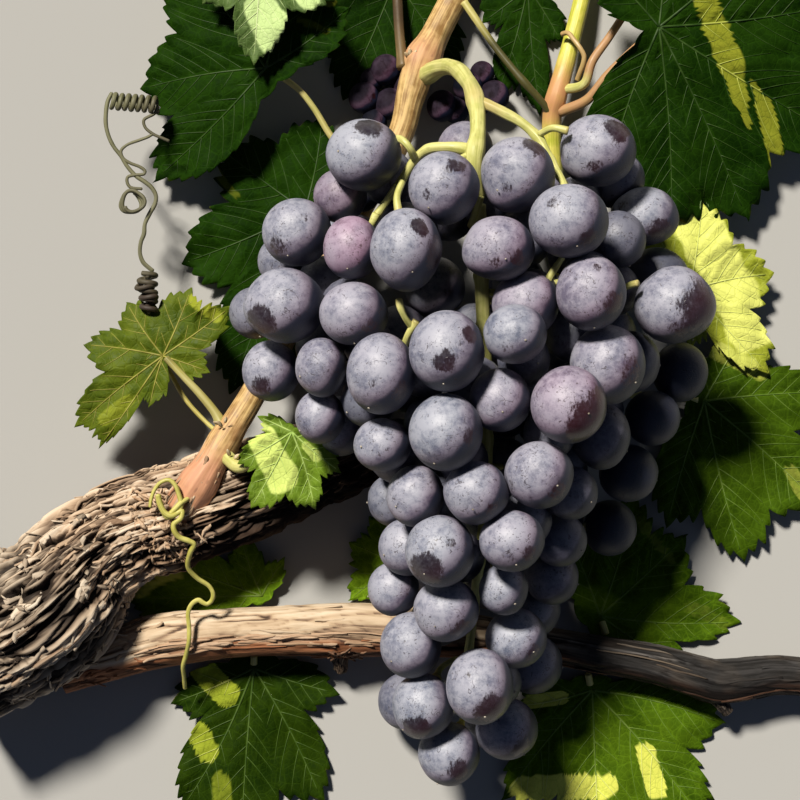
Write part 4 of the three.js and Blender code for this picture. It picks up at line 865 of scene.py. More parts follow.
def front_berry(row):
    u, v, a, b, proud = row
    s, r = section(v), math.sqrt(a * b)
    t = min(1, abs(u - s["u"]) / max(1, s["w"] - r))
    z = math.floor(s["z"] + (s["h"] - r * UNIT) * math.sqrt(1 - t * t) + proud + 0.5)
    k = scale_at(z)
    return dict(p=at(u, v, max(z, r * k + 0.6)), r=np.array([a * k, b * k, r * k]), uv=(u, v), size=(a, b))


def sphere(level):
    bm = bmesh.new()
    bmesh.ops.create_icosphere(bm, subdivisions=level, radius=1.0)
    bm.verts.ensure_lookup_table()
    v = np.array([x.co[:] for x in bm.verts])
    f = np.array([[x.index for x in y.verts] for y in bm.faces])
    bm.free()
    return unit(v), f


BALL = {n: sphere(n) for n in (2, 3, 4, 5)}
front = {name: [front_berry(row) for row in rows] for name, rows in LOBES.items()}
all_front = [b for rows in front.values() for b in rows]
line_points = [limb(rows, 60) for rows in (ARM, CANE, SHOOT, SECOND)]
rear = []
row_i = 0
for v0 in range(196, 751, 46):
    s = section(v0)
    w, h = s["w"] * FOLLOW - REAR_BERRY / UNIT, s["h"] - REAR_BERRY
    n = max(2, round(math.pi * (w * UNIT + h) / 2 / (REAR_BERRY * 1.9)))
    for i in range(n + 1):
        a = math.pi * (0.5 + (i + (row_i % 2) * 0.5) / n)
        p = at(s["u"] + w * math.sin(a), v0, max(REAR_BERRY + 0.6, s["z"] + h * math.cos(a)))
        r = REAR_BERRY * (1 - 0.08 * abs(math.sin(5 * a + row_i)))
        if (all(np.linalg.norm(p - f["p"]) >= (r + f["r"][2]) * 1.01 for f in all_front) and all(np.linalg.norm(p - f["p"]) >= (r + f["r"][2]) * BERRY_SQUEEZE for f in rear)
                and all((np.linalg.norm(q - p, axis=1) >= (r + rad) * 1.02).all() for q, _, rad, _ in line_points)):
            rear.append(dict(p=p, r=np.array([r, r * 1.03, r]), uv=(s["u"] + w * math.sin(a), v0), size=(30, 30)))
    row_i += 1

# berries deeper in the bunch, which close the gaps between the outer ones
rachis_line = limb(RACHIS, 120)[0]
wing_lines = [limb(WING_RIGHT, 40)[0], limb(WING_LEFT, 40)[0], limb(PEDUNCLE, 60)[0][30:]]
gu, gv = np.meshgrid(np.arange(800), np.arange(800))
shape_mask = np.zeros((800, 800), bool)
for b in all_front:
    shape_mask |= ((gu - b["uv"][0]) / b["size"][0]) ** 2 + ((gv - b["uv"][1]) / b["size"][1]) ** 2 < 1


def spread(mask, n):
    """The mask grown by n steps of a rough circle."""
    for i in range(n):
        m = mask.copy()
        m[1:] |= mask[:-1]
        m[:-1] |= mask[1:]
        if i % 3:
            m[:, 1:] |= m[:, :-1].copy()
            m[:, :-1] |= m[:, 1:].copy()
        else:
            m[:, 1:] |= mask[:, :-1]
            m[:, :-1] |= mask[:, 1:]
        mask = m
    return mask


closed = ~spread(~spread(shape_mask, 14), 16)


def share_inside(p, r):
    """How much of a berry's disc falls inside the bunch's outline, as the camera sees it."""
    k = scale_at(p[2])
    u0, v0, rr = 400 + (p[0] + CENTRE_X) / k, 400 - (p[1] + CENTRE_Y) / k, r / k
    disc = (gu - u0) ** 2 + (gv - v0) ** 2 < rr * rr
    return (closed & disc).sum() / max(1, disc.sum())


FRONT_Z = np.full((800, 800), -1e9)
for b in all_front:
    e2 = ((gu - b["uv"][0]) / b["size"][0]) ** 2 + ((gv - b["uv"][1]) / b["size"][1]) ** 2
    FRONT_Z = np.where(e2 < 1, np.maximum(FRONT_Z, b["p"][2] + b["r"][2] * np.sqrt(np.maximum(0, 1 - e2))), FRONT_Z)


def shown(p, r):
    """Whether a berry would fill a gap between the outer ones close under their tops, where the bunch is open."""
    k = scale_at(p[2])
    u0, v0, rr = 400 + (p[0] + CENTRE_X) / k, 400 - (p[1] + CENTRE_Y) / k, r / k
    e2 = ((gu - u0) ** 2 + (gv - v0) ** 2) / rr ** 2
    near = ((gu - u0) ** 2 + (gv - v0) ** 2) < (rr * 1.9) ** 2
    top = FRONT_Z[near & (FRONT_Z > 0)]
    seen = (e2 < 1) & (FRONT_Z < p[2] + r * np.sqrt(np.maximum(0, 1 - e2)))
    return len(top) > 0 and seen.sum() > 0.03 * rr * rr and p[2] + r > np.percentile(top, 60) - 17


print("rear berries outside the outline:", [(round(b["uv"][0]), b["uv"][1], round(float(share_inside(b["p"], b["r"][0])), 2)) for b in rear if share_inside(b["p"], b["r"][0]) < 0.9])
inner = []
rng = np.random.default_rng(7)
outer = all_front + rear
outer_p, outer_r = np.array([b["p"] for b in outer]), np.array([b["r"][2] for b in outer])
tries = []
for v0 in range(176, 760, 13):
    s = section(v0)
    for u0 in np.arange(s["u"] - s["w"], s["u"] + s["w"] + 1, 14.0):
        for z0 in np.arange(s["z"] - s["h"], s["z"] + s["h"], 5.0):
            q = ((u0 - s["u"]) / max(1, s["w"] - 26)) ** 2 + ((z0 - s["z"]) / max(1, s["h"] - 8)) ** 2
            if q < 0.92 and z0 > 10:
                tries.append((u0 + rng.uniform(-4, 4), v0 + rng.uniform(-4, 4), z0 + rng.uniform(-1.5, 1.5), q))
tries.sort(key=lambda t: -t[3])
for u0, v0, z0, q in tries:
    p = at(u0, v0, z0)
    room = (np.linalg.norm(outer_p - p, axis=1) - outer_r * 0.97).min()
    if inner:
        room = min(room, min(np.linalg.norm(b["p"] - p) - b["r"][2] * 0.98 for b in inner))
    if room < 7.4:
        continue
    r = min(9.4, room)
    if (np.linalg.norm(rachis_line - p, axis=1) < r + 1.5).any() or any((np.linalg.norm(w - p, axis=1) < r + 1.5).any() for w in wing_lines):
        continue
    if any((np.linalg.norm(l - p, axis=1) < r + rad + 0.3).any() for l, _, rad, _ in line_points):
        continue
    if share_inside(p, r) < 0.985 or shown(p, r):
        continue
    inner.append(dict(p=p, r=np.array([r, r * 1.04, r]), uv=(u0, v0), size=(30, 30)))
print("berries", len(all_front), len(rear), len(inner))

# rubbed places that show, [berry u, v] -> [du, dv (share of the berry's half size), spread in radians, strength]
RUBS = {
    (364, 155): [(0.20, -0.72, 0.42, 1.0), (0.0, 0.05, 0.10, 0.5)], (284, 306): [(-0.55, 0.45, 0.50, 0.95), (0.2, -0.2, 0.12, 0.5)],
    (406, 250): [(0.36, -0.50, 0.30, 1.0), (0.85, 0.1, 0.45, 0.75)], (444, 188): [(0.30, -0.52, 0.34, 0.95), (-0.5, 0.3, 0.18, 0.6)],
    (517, 176): [(0.45, -0.70, 0.42, 0.95), (-0.3, 0.4, 0.2, 0.6)], (597, 151): [(0.50, -0.50, 0.46, 0.95), (-0.1, 0.5, 0.22, 0.6)],
    (447, 351): [(-0.06, 0.30, 0.36, 0.90), (0.58, -0.42, 0.30, 0.95), (-0.5, -0.1, 0.16, 0.5)], (675, 305): [(0.62, 0.10, 0.85, 0.95), (0.1, 0.6, 0.4, 0.7)],
    (569, 405): [(0.50, 0.48, 0.80, 1.0), (0.82, -0.05, 0.60, 0.92), (0.16, 0.16, 0.26, 0.66)], (440, 551): [(-0.42, 0.50, 0.62, 1.0), (0.3, -0.3, 0.14, 0.6)],
    (423, 706): [(-0.25, 0.60, 0.58, 1.0)], (480, 687): [(0.30, 0.56, 0.58, 1.0), (-0.4, -0.4, 0.14, 0.6)], (569, 221): [(0.4, 0.5, 0.30, 0.7), (-0.5, -0.45, 0.2, 0.6)],
    (591, 293): [(0.60, 0.30, 0.40, 0.8), (0.1, -0.6, 0.2, 0.6)], (498, 249): [(0.5, 0.35, 0.35, 0.75), (-0.1, 0.5, 0.24, 0.6)], (446, 432): [(0.62, 0.1, 0.3, 0.7), (-0.3, 0.6, 0.2, 0.6)],
    (381, 374): [(0.6, 0.45, 0.34, 0.7), (-0.2, 0.2, 0.16, 0.5)], (297, 232): [(-0.5, 0.5, 0.4, 0.7), (0.3, -0.4, 0.2, 0.55)], (354, 314): [(0.45, 0.4, 0.3, 0.7)],
    (608, 365): [(0.6, 0.2, 0.45, 0.7)], (645, 217): [(0.3, 0.5, 0.5, 0.8)], (539, 475): [(0.5, 0.45, 0.4, 0.7)], (512, 541): [(0.5, 0.3, 0.34, 0.7)], (476, 493): [(0.5, 0.5, 0.3, 0.65)],
    (446, 610): [(0.45, 0.5, 0.35, 0.75)], (507, 729): [(0.4, 0.5, 0.4, 0.8)], (449, 754): [(0.3, 0.4, 0.5, 0.8)], (271, 371): [(-0.3, 0.5, 0.45, 0.75)], (516, 638): [(0.5, 0.4, 0.35, 0.7)],
}
TINTS = {(352, 248): 0.85, (498, 249): 0.26, (591, 293): 0.26, (569, 405): 0.42, (340, 196): 0.55, (526, 304): 0.30, (597, 151): 0.10, (354, 314): 0.18, (500, 400): 0.22,
         (444, 188): 0.10, (321, 368): 0.15, (465, 149): 0.3, (608, 365): 0.2, (512, 541): 0.12, (539, 475): 0.14, (415, 496): 0.1}
SCARS = {(440, 551): (-16, 21), (423, 706): (-20, 22), (504, 590): (10, 12), (476, 493): (-4, 15), (446, 432): (-12, 31), (381, 374): (-12, 34), (480, 687): (4, 26),
         (297, 232): (-8, 25), (569, 221): (6, 27), (512, 541): (3, 22), (447, 351): (-4, 33)}
stem_points = np.vstack([rachis_line, *wing_lines])
PAINTED_LIGHT_WAY = unit([-0.56, 0.50, 0.66])       # the way the painted light falls from; the berries' sides turned from it get painted shade


def grape(bag, berry, level, seed, deep=0.0, near=(), press=()):
    q, f = BALL[level]
    r, p = berry["r"], berry["p"]
    a_, b_ = berry["size"]
    key = berry["uv"]
    rng = np.random.default_rng(seed)
    # where its stalk comes in, and the scar at the other end
    i = np.argmin(np.linalg.norm(stem_points + np.array([0, 4.0, 0]) - p, axis=1))
    stalk = unit(stem_points[i] + np.array([0, 2.0, -7.0]) - p + rng.normal(0, 1.0, 3))
    if key in SCARS:
        du, dv = SCARS[key]
        x, y = du / a_, -dv / b_
        scar = unit([x, y, math.sqrt(max(0.05, 1 - x * x - y * y))])
        stalk = unit(-scar + np.array([0, 0.5, -0.3]))
    else:
        scar = unit(-stalk + np.array([0, -0.35, 0.0]) + rng.normal(0, 0.12, 3))
    berry["stalk"], berry["scar"] = stalk, scar
    shape = 1 + 0.016 * fbm(q * 1.1 + seed * 3.7, 2, 3) + 0.018 * (q @ scar)[:] * rng.uniform(-1, 1)
    dimple = np.exp(-((1 - q @ stalk) / 0.035) ** 2)
    tip = np.exp(-((1 - q @ scar) / 0.010) ** 2)
    local = q * r * (shape - 0.055 * dimple + 0.012 * tip - 0.02 * np.exp(-((1 - q @ scar) / 0.05) ** 2))[:, None]
    lean = EGGS.get(key)
    if lean:  # narrower towards one end
        d = unit([lean[0], -lean[1], 0.15])
        along = (q @ d)
        local = local - (local - np.outer(local @ d, d)) * (lean[2] * smooth(0.0, 1.0, along))[:, None]
    for n_, h in press:
        over = local @ n_ - h
        local = local - np.outer(np.where(over > -0.7, 0.5 * (over + np.sqrt(over * over + 0.25)) - 0.0, 0) * smooth(-0.7, 0.2, over), n_)
    v = p + local
    rub = np.zeros(len(q))
    spots = [(unit([x, -y, math.sqrt(max(0.02, 1 - x * x - y * y))]), w, k) for x, y, w, k in RUBS.get(key, ())]
    for _ in range(rng.integers(3, 8)):
        spots.append((unit(rng.normal(0, 1, 3)), rng.uniform(0.10, 0.30), rng.uniform(0.18, 0.50)))
    # rubbed wax where neighbours touch: real wear, and also painted shade between the berries
    for d in near:
        spots.append((d, 0.34, 0.30))
    for d, w, k in spots:
        ang = np.arccos(np.clip(q @ d, -1, 1)) + 0.16 * fbm(q * 3.4 + seed, 3, 9)
        rub = np.maximum(rub, 0.92 * k * smooth(w * 1.35, w * 0.45, ang))
    rub = np.maximum(rub, 0.55 * dimple)
    tint = TINTS.get(key, rng.uniform(0.0, 0.12))
    tint_v = tint * (0.75 + 0.35 * fbm(q * 1.6 + seed, 2, 12))
    # painted shade: each berry is darkened on the side turned away from the light's way, through its deep attribute,
    # with a plum cast in the half shade
    away = q @ PAINTED_LIGHT_WAY + 0.10 * fbm(q * 1.9 + seed, 2, 31)
    thin = 0.96 * smooth(0.56, 0.06, away)
    tint_v = tint_v + 0.26 * smooth(0.70, 0.25, away) * (1 - deep)
    bag.add(v, f, 0, rub=rub, tint=np.clip(tint_v, 0, 1), deep=np.maximum(deep, thin))
    # the scar left by the flower
    sv, sf = BALL[2]
    c = p + scar * r * (1.0 + 0.004)
    side = unit(np.cross(scar, [0.31, 0.2, 0.9]))
    other = np.cross(scar, side)
    size = rng.uniform(0.26, 0.40)
    flat = (sv @ np.stack([side * size, other * size * 0.85, scar * 0.22])) + c
    bag.add(flat, sf, 1, rub=0.0, tint=0.0, deep=0.0)


def contacts(b, others):
    """Which ways the neighbours touch b, and how far out the flat that each presses into it is."""
    out, flats = [], []
    for o in others:
        if o is b:
            continue
        d = o["p"] - b["p"]
        n = np.linalg.norm(d)
        d = d / n
        mine = 1 / math.sqrt(((d / b["r"]) ** 2).sum())
        theirs = 1 / math.sqrt(((d / o["r"]) ** 2).sum())
        if n < (mine + theirs) * 1.03:
            out.append(d)
        if n < mine + theirs:
            flats.append((d, n * mine / (mine + theirs) - 0.05))
    return dict(near=out, press=flats)


# berries that narrow towards one end, [way on the sheet, how much]
EGGS = {(517, 176): (-0.5, 0.9, 0.16), (406, 250): (0.1, 1.0, 0.10), (498, 249): (-1.0, 0.5, 0.14), (444, 188): (0.1, 1.0, 0.07), (675, 305): (1.0, 0.2, 0.10), (284, 306): (-1.0, 0.2, 0.08),
        (597, 151): (-0.6, 0.5, 0.06), (504, 590): (0.4, 1.0, 0.10), (476, 493): (-0.2, 1.0, 0.07), (423, 706): (-0.5, 1.0, 0.08), (645, 217): (0.9, 0.5, 0.10), (354, 314): (1.0, 0.4, 0.08),
        (321, 368): (0.3, 1.0, 0.12), (512, 541): (0.2, 1.0, 0.06), (539, 475): (0.3, 1.0, 0.08), (446, 610): (-0.3, 1.0, 0.07), (449, 754): (0, 1.0, 0.07), (526, 304): (0.4, 1.0, 0.08)}


# painted shade: how much each berry that lies in shade, behind others or on the right flank, is darkened all over
PAINTED_SHADE_OF_BERRY = {(340, 196): 0.35, (283, 261): 0.35, (255, 313): 0.5, (465, 149): 0.3, (616, 180): 0.6, (656, 281): 0.85, (628, 362): 0.85, (394, 500): 0.5, (524, 520): 0.5, (534, 610): 0.5, (407, 701): 0.5,
        (652, 418): 0.94, (601, 436): 0.74, (628, 473): 0.98, (571, 493): 0.66, (610, 528): 0.98, (560, 540): 0.66, (552, 577): 0.5, (533, 664): 0.55, (680, 372): 0.94}
every = all_front + rear + inner
seed = 1000
for name, berries in front.items():
    bag = Bag()
    for b in berries:
        seed += 1
        grape(bag, b, 5 if b["size"][0] > 29.5 and PAINTED_SHADE_OF_BERRY.get(b["uv"], 0) < 0.3 else 4, seed, deep=PAINTED_SHADE_OF_BERRY.get(b["uv"], 0.0), **contacts(b, every))
    build(bag, name + "_grapes", [M["berry"], M["scar"]], [name])
groups = {"rear_left": [], "rear_right": [], "rear_waist": []}
for b in rear:
    key = ("rear_left" if b["p"][0] < 20 else "rear_right") if b["uv"][1] < 420 else "rear_waist"
    groups[key].append(b)
# painted shade: the rear berries are darkened a little all over (deep 0.12)
for name, berries in groups.items():
    bag = Bag()
    for b in berries:
        seed += 1
        grape(bag, b, 4, seed, deep=0.12, **contacts(b, every))
    build(bag, name + "_grapes", [M["berry"], M["scar"]], [name])
bag = Bag()
# painted shade: the inner berries are darkened all over (deep 0.72), for the shade between the outer ones
for b in inner:
    seed += 1
    grape(bag, b, 3, seed, deep=0.72, **contacts(b, every))
build(bag, "inner_grapes", [M["berry"], M["scar"]])

bag = Bag()
SMALL = [[364, 98], [386, 70], [390, 104], [442, 106], [468, 86], [494, 96]]
small = [dict(p=at(u, v, 7 + 0.5 * (i % 2)), r=np.array([4.9, 5.1, 4.6]), uv=(u, v), size=(17, 17)) for i, (u, v) in enumerate(SMALL)]
small += [dict(p=at(u, v, z), r=np.array([r, r * 1.04, r]), uv=(u, v), size=(14, 14)) for u, v, z, r in [(374, 122, 6.6, 4.2), (404, 84, 5.6, 4.0), (456, 110, 6.0, 4.2), (482, 74, 6.0, 4.0), (372, 80, 5.2, 3.8), (478, 104, 5.4, 4.0)]]
for b in small:
    seed += 1
    grape(bag, b, 4, seed, deep=0.0)
build(bag, "small_grapes", [M["small"], M["scar"]], ["small_cluster"])

# pedicels: each berry's own stalk, thicker where it meets the berry
bag = Bag()
for i, b in enumerate(every):
    rng = np.random.default_rng(3000 + i)
    start = b["p"] + b["stalk"] * b["r"] * 0.93
    away = start + b["stalk"] * rng.uniform(2.5, 4)
    near = stem_points[np.argmin(np.linalg.norm(stem_points + np.array([0, -3.0, 0]) - away, axis=1))]
    # it runs inside the bunch, under the outer berries
    middle = (away + near) / 2 + rng.normal(0, 0.8, 3) + np.array([0, 1.0, -3.5])
    if i < len(all_front):
        away = away - np.array([0, 0, 2.0])
    line = catmull(np.array([start, away, middle, near]), np.linspace(0, 1, 14))
    rad = np.interp(np.linspace(0, 1, 14), [0, 0.06, 0.16, 0.5, 1], [1.75, 1.9, 1.05, 0.85, 1.15])
    scales = np.array([scale_at(z) for z in line[:, 2]])
    pu = np.clip(400 + (line[:, 0] + CENTRE_X) / scales, 0, 799).astype(int)
    pv = np.clip(400 - (line[:, 1] + CENTRE_Y) / scales, 0, 799).astype(int)
    if (FRONT_Z[pv, pu] < line[:, 2]).sum() >= (1 if i < len(all_front) else 3) and b["uv"][1] < 700:
        continue
    v, f = sweep(line, rad, 9)
    q = np.repeat(np.linspace(0, 1, 14), 9)
    bag.add(v, f, 0, flow=v / 1000, tone=np.concatenate([0.55 * smooth(0.15, 0.0, q), [0.5, 0]]))
build(bag, "pedicels", [M["green"]])

# the few pedicels and empty stubs that show from the front
SEEN = [
    [(480, 196, 66, 9), (476, 212, 64, 8), (471, 226, 60, 8)], [(404, 346, 72, 7), (409, 333, 75, 7), (417, 321, 76, 9)], [(412, 328, 75, 7), (404, 316, 78, 6), (400, 306, 79, 8), (399, 300, 78, 7)],
    [(562, 258, 70, 6), (554, 270, 73, 7), (546, 284, 72, 9)], [(622, 290, 60, 6), (630, 285, 66, 7), (638, 283, 68, 7)],
    [(414, 157, 65, 8), (409, 147, 68, 7), (402, 140, 67, 8), (394, 139, 63, 9)], [(402, 182, 64, 7), (397, 198, 68, 7), (399, 214, 70, 9)],
    [(397, 186, 62, 8), (386, 202, 61, 7), (374, 219, 60, 9)], [(540, 134, 64, 7), (553, 128, 68, 7), (568, 131, 69, 9)], [(558, 172, 70, 7), (563, 182, 73, 7), (566, 192, 75, 10)],
    [(474, 152, 68, 7), (462, 158, 70, 7), (453, 163, 70, 9)],
]
bag = Bag()
for i, rows in enumerate(SEEN):
    stem(bag, rows, 18, 12, ridges=4, relief=0.04, seed=600 + i, lump=0.05, tone=lambda v, s: 0.35 * smooth(s[-1] * 0.7, s[-1], s))
build(bag, "front_pedicels", [M["green"]])


# ------------------------------------------------------------------ leaves
def leaf_tips(leaf):
    ju, jv = leaf["at"][:2]
    pol = sorted((math.atan2(v - jv, u - ju), math.hypot(u - ju, v - jv)) for u, v in leaf["tips"])
    n = len(pol)
    gaps = [pol[i][0] - pol[i - 1][0] if i else pol[0][0] + 2 * math.pi - pol[-1][0] for i in range(n)]
    k = gaps.index(max(gaps))
    return [(a, r) for a, r in pol[k:]] + [(a + 2 * math.pi, r) for a, r in pol[:k]]


def leaf_height(leaf, u, v, size):
    ju, jv, jz = leaf["at"]
    du, dv = (u - ju) / 100, (v - jv) / 100
    q = np.hypot(du, dv) * 100 / size
    z = jz + leaf["slope"][0] * du + leaf["slope"][1] * dv - leaf["droop"] * q * q + 0.8 * q * np.sin(3 * np.arctan2(dv, du) + ju)
    return np.maximum(z, 0.6)


def outline(leaf, ang, tooth, seed):
    """Distance of the rim from the stalk's end in each direction: the plain lobes, and the same with teeth."""
    pol = leaf_tips(leaf)
    n = len(pol)
    sinus = leaf.get("sinus", 0.8)
    a0 = pol[0][0]
    ang = (ang - a0) % (2 * np.pi) + a0
    plain, jag = np.zeros_like(ang), np.zeros_like(ang)
    rng = np.random.default_rng(seed)
    for i in range(n):
        here, last = pol[i], i == n - 1
        nxt = (pol[0][0] + 2 * np.pi, pol[0][1]) if last else pol[i + 1]
        gap = nxt[0] - here[0]
        half = min(gap / 2, 0.62) if last else gap / 2
        floor = (0.34 if last else 1 - (1 - sinus) * min(1, gap / 0.9)) * min(here[1], nxt[1])
        for flank, (ta, tr) in enumerate((here, nxt)):
            sel = (ang >= here[0]) & (ang <= here[0] + gap / 2) if flank == 0 else (ang > here[0] + gap / 2) & (ang <= nxt[0])
            d = np.abs(ang[sel] - ta)
            t = np.clip(d / half, 0, 1)
            r = floor + (tr - floor) * (0.4 * (1 - t) + 0.6 * (1 - t * t))
            beyond = np.clip((d - half) / max(1e-6, gap / 2 - half), 0, 1) if gap / 2 - half > 1e-6 else 0 * d
            r = r - floor * 0.45 * beyond * (t >= 1)
            length = math.hypot(tr - floor, half * (tr + floor) / 2)
            teeth = max(2, round(length / tooth))
            x = 0.38 + t * (teeth + 0.62)
            k = np.minimum(np.floor(x).astype(int), teeth)
            fr = x - k
            sizes = rng.uniform(0.6, 1.25, teeth + 2) * np.where(np.arange(teeth + 2) % 2 == 0, 1.12, 0.8)
            h = np.where(fr < 0.38, (np.clip(fr, 0, 1) / 0.38) ** 0.85, (np.clip(1 - fr, 0, 1) / 0.62) ** 0.8) * sizes[k]
            h = np.where(t >= 1, 0, h)
            plain[sel] = r
            jag[sel] = r + tooth * 0.50 * (h - 0.35) * (1 - 0.6 * (t >= 1))
    return plain, jag


def far(points, lines):
    """Distance from each point (n, 2) to the nearest of the polylines."""
    best = np.full(len(points), 1e9)
    for l in lines:
        a, b = l[:-1], l[1:]
        for p0, p1 in zip(a, b):
            d = p1 - p0
            t = np.clip(((points - p0) @ d) / max(1e-9, d @ d), 0, 1)
            best = np.minimum(best, np.hypot(*(points - p0 - t[:, None] * d).T))
    return best


def vein_lines(leaf, tooth, seed):
    """The main veins to the lobes' tips, and the side veins that leave them and run for the teeth."""
    ju, jv = leaf["at"][:2]
    j = np.array([ju, jv], float)
    pol = leaf_tips(leaf)
    rng = np.random.default_rng(seed)
    mains, sides = [], []
    n = len(pol)
    for i, (a, r) in enumerate(pol):
        t = np.linspace(0, 0.955, 22)
        d, e = np.array([math.cos(a), math.sin(a)]), np.array([-math.sin(a), math.cos(a)])
        bow = rng.uniform(-0.035, 0.035)
        line = j + np.outer(t * r, d) + np.outer(np.sin(np.pi * t) * r * bow, e)
        mains.append((line, 1.0, r))
        lo = pol[i - 1][0] if i else pol[-1][0] - 2 * math.pi
        hi = pol[i + 1][0] if i < n - 1 else pol[0][0] + 2 * math.pi
        count = max(2, int(r / 19))
        for sgn, limit in ((-1, (lo - a) / 2), (1, (hi - a) / 2)):
            for m in range(count):
                tm = 0.10 + 0.82 * (m + (0.5 if sgn > 0 else 0.15) + rng.uniform(-0.12, 0.12)) / count
                if tm > 0.93:
                    continue
                start = j + d * tm * r + e * math.sin(math.pi * tm) * r * bow
                heading = a + sgn * math.radians(rng.uniform(46, 56) - 12 * tm)
                pts = [start]
                for step in range(60):
                    heading -= sgn * math.radians(0.8)
                    q = pts[-1] + 3.2 * np.array([math.cos(heading), math.sin(heading)])
                    rel = (math.atan2(q[1] - jv, q[0] - ju) - a + math.pi) % (2 * math.pi) - math.pi
                    lim = min(abs(limit), 0.75) * 0.97
                    rim = outline(leaf, np.array([math.atan2(q[1] - jv, q[0] - ju)]), tooth, seed)[0][0]
                    if abs(rel) > lim or np.hypot(*(q - j)) > rim * 0.965:
                        break
                    pts.append(q)
                if len(pts) > 3:
                    sides.append((np.array(pts), 0.45 * (1 - 0.45 * tm), len(pts) * 3.2))
    return mains, sides


def suns(leaf_name, u, v):
    out = np.zeros_like(u)
    for u0, v0, u1, v1, w, k in SUN.get(leaf_name, ()):
        d = np.array([u1 - u0, v1 - v0], float)
        t = np.clip(((u - u0) * d[0] + (v - v0) * d[1]) / max(1e-9, d @ d), 0, 1)
        dist = np.hypot(u - u0 - t * d[0], v - v0 - t * d[1])
        crisp = k >= 0.95      # the edge of a shadow
        dist = dist + (0.16 if crisp else 0.35) * w * fbm(np.stack([u / 23, v / 23, 0 * u + w], -1), 3, 5)
        out = np.maximum(out, k * (smooth(w * 1.08, w * 0.90, dist) if crisp else smooth(w * 1.12, w * 0.72, dist)))
    return out


# painted sunlight: lit patches of the blades, each a band from (u0, v0) to (u1, v1) that is so wide
SUN = {
    "upper_right_leaf": [(700, -16, 716, 28, 11, 1.0), (716, 28, 731, 66, 12.5, 1.0), (731, 66, 741, 100, 9, 1.0), (741, 100, 748, 124, 3.6, 1.0), (754, 84, 762, 104, 3.6, 1.0), (763, 104, 771, 132, 9, 1.0),
                         (771, 132, 778, 162, 8.5, 1.0), (778, 162, 784, 186, 3.6, 1.0)],
    "upper_left_leaf": [(290, -46, 330, 0, 10, 0.5), (300, 20, 326, 30, 6, 0.4)],
    "left_back_leaf": [(214, 170, 236, 196, 6, 0.4)],
    "right_leaf": [(716, 352, 760, 372, 10, 0.45), (790, 470, 806, 500, 8, 0.4)],
    "lower_right_leaf": [(640, 520, 670, 560, 8, 0.35), (690, 606, 724, 624, 10, 0.3)],
    "bottom_right_leaf": [(530, 702, 562, 698, 7, 0.95), (522, 790, 606, 786, 13, 1.0), (646, 752, 656, 790, 10, 1.0), (600, 830, 620, 850, 14, 0.7)],
    "bottom_left_leaf": [(200, 666, 226, 694, 13, 0.95), (198, 732, 208, 752, 11, 0.95), (222, 780, 226, 820, 12, 0.5)],
    "inner_left_leaf": [(140, 588, 176, 566, 12, 0.8)],
    "right_bright_leaf": [(700, 230, 750, 330, 26, 0.9), (720, 350, 750, 366, 10, 0.5)],
    "left_leaf": [(196, 300, 216, 316, 9, 0.6), (104, 420, 130, 400, 8, 0.5)],
    "young_leaf": [(262, 440, 282, 478, 17, 0.9), (306, 446, 316, 456, 7, 0.6)],
    "top_left_leaf": [(262, 10, 280, 44, 20, 0.9), (290, -20, 310, 0, 12, 0.8)],
}
SETTINGS = {  # rim points, rings, tooth width on the sheet
    "upper_left_leaf": (400, 22, 17), "top_left_leaf": (300, 17, 13), "left_back_leaf": (380, 18, 18), "top_leaf": (280, 13, 17), "upper_right_leaf": (480, 26, 20),
    "right_bright_leaf": (340, 19, 17), "right_leaf": (380, 20, 19), "lower_right_leaf": (340, 19, 18), "bottom_right_leaf": (400, 22, 20), "bottom_left_leaf": (400, 22, 20),
    "inner_left_leaf": (220, 11, 14), "inner_leaf": (200, 10, 12), "left_leaf": (400, 21, 13), "young_leaf": (340, 20, 11), "crown_leaf": (260, 13, 14),
}


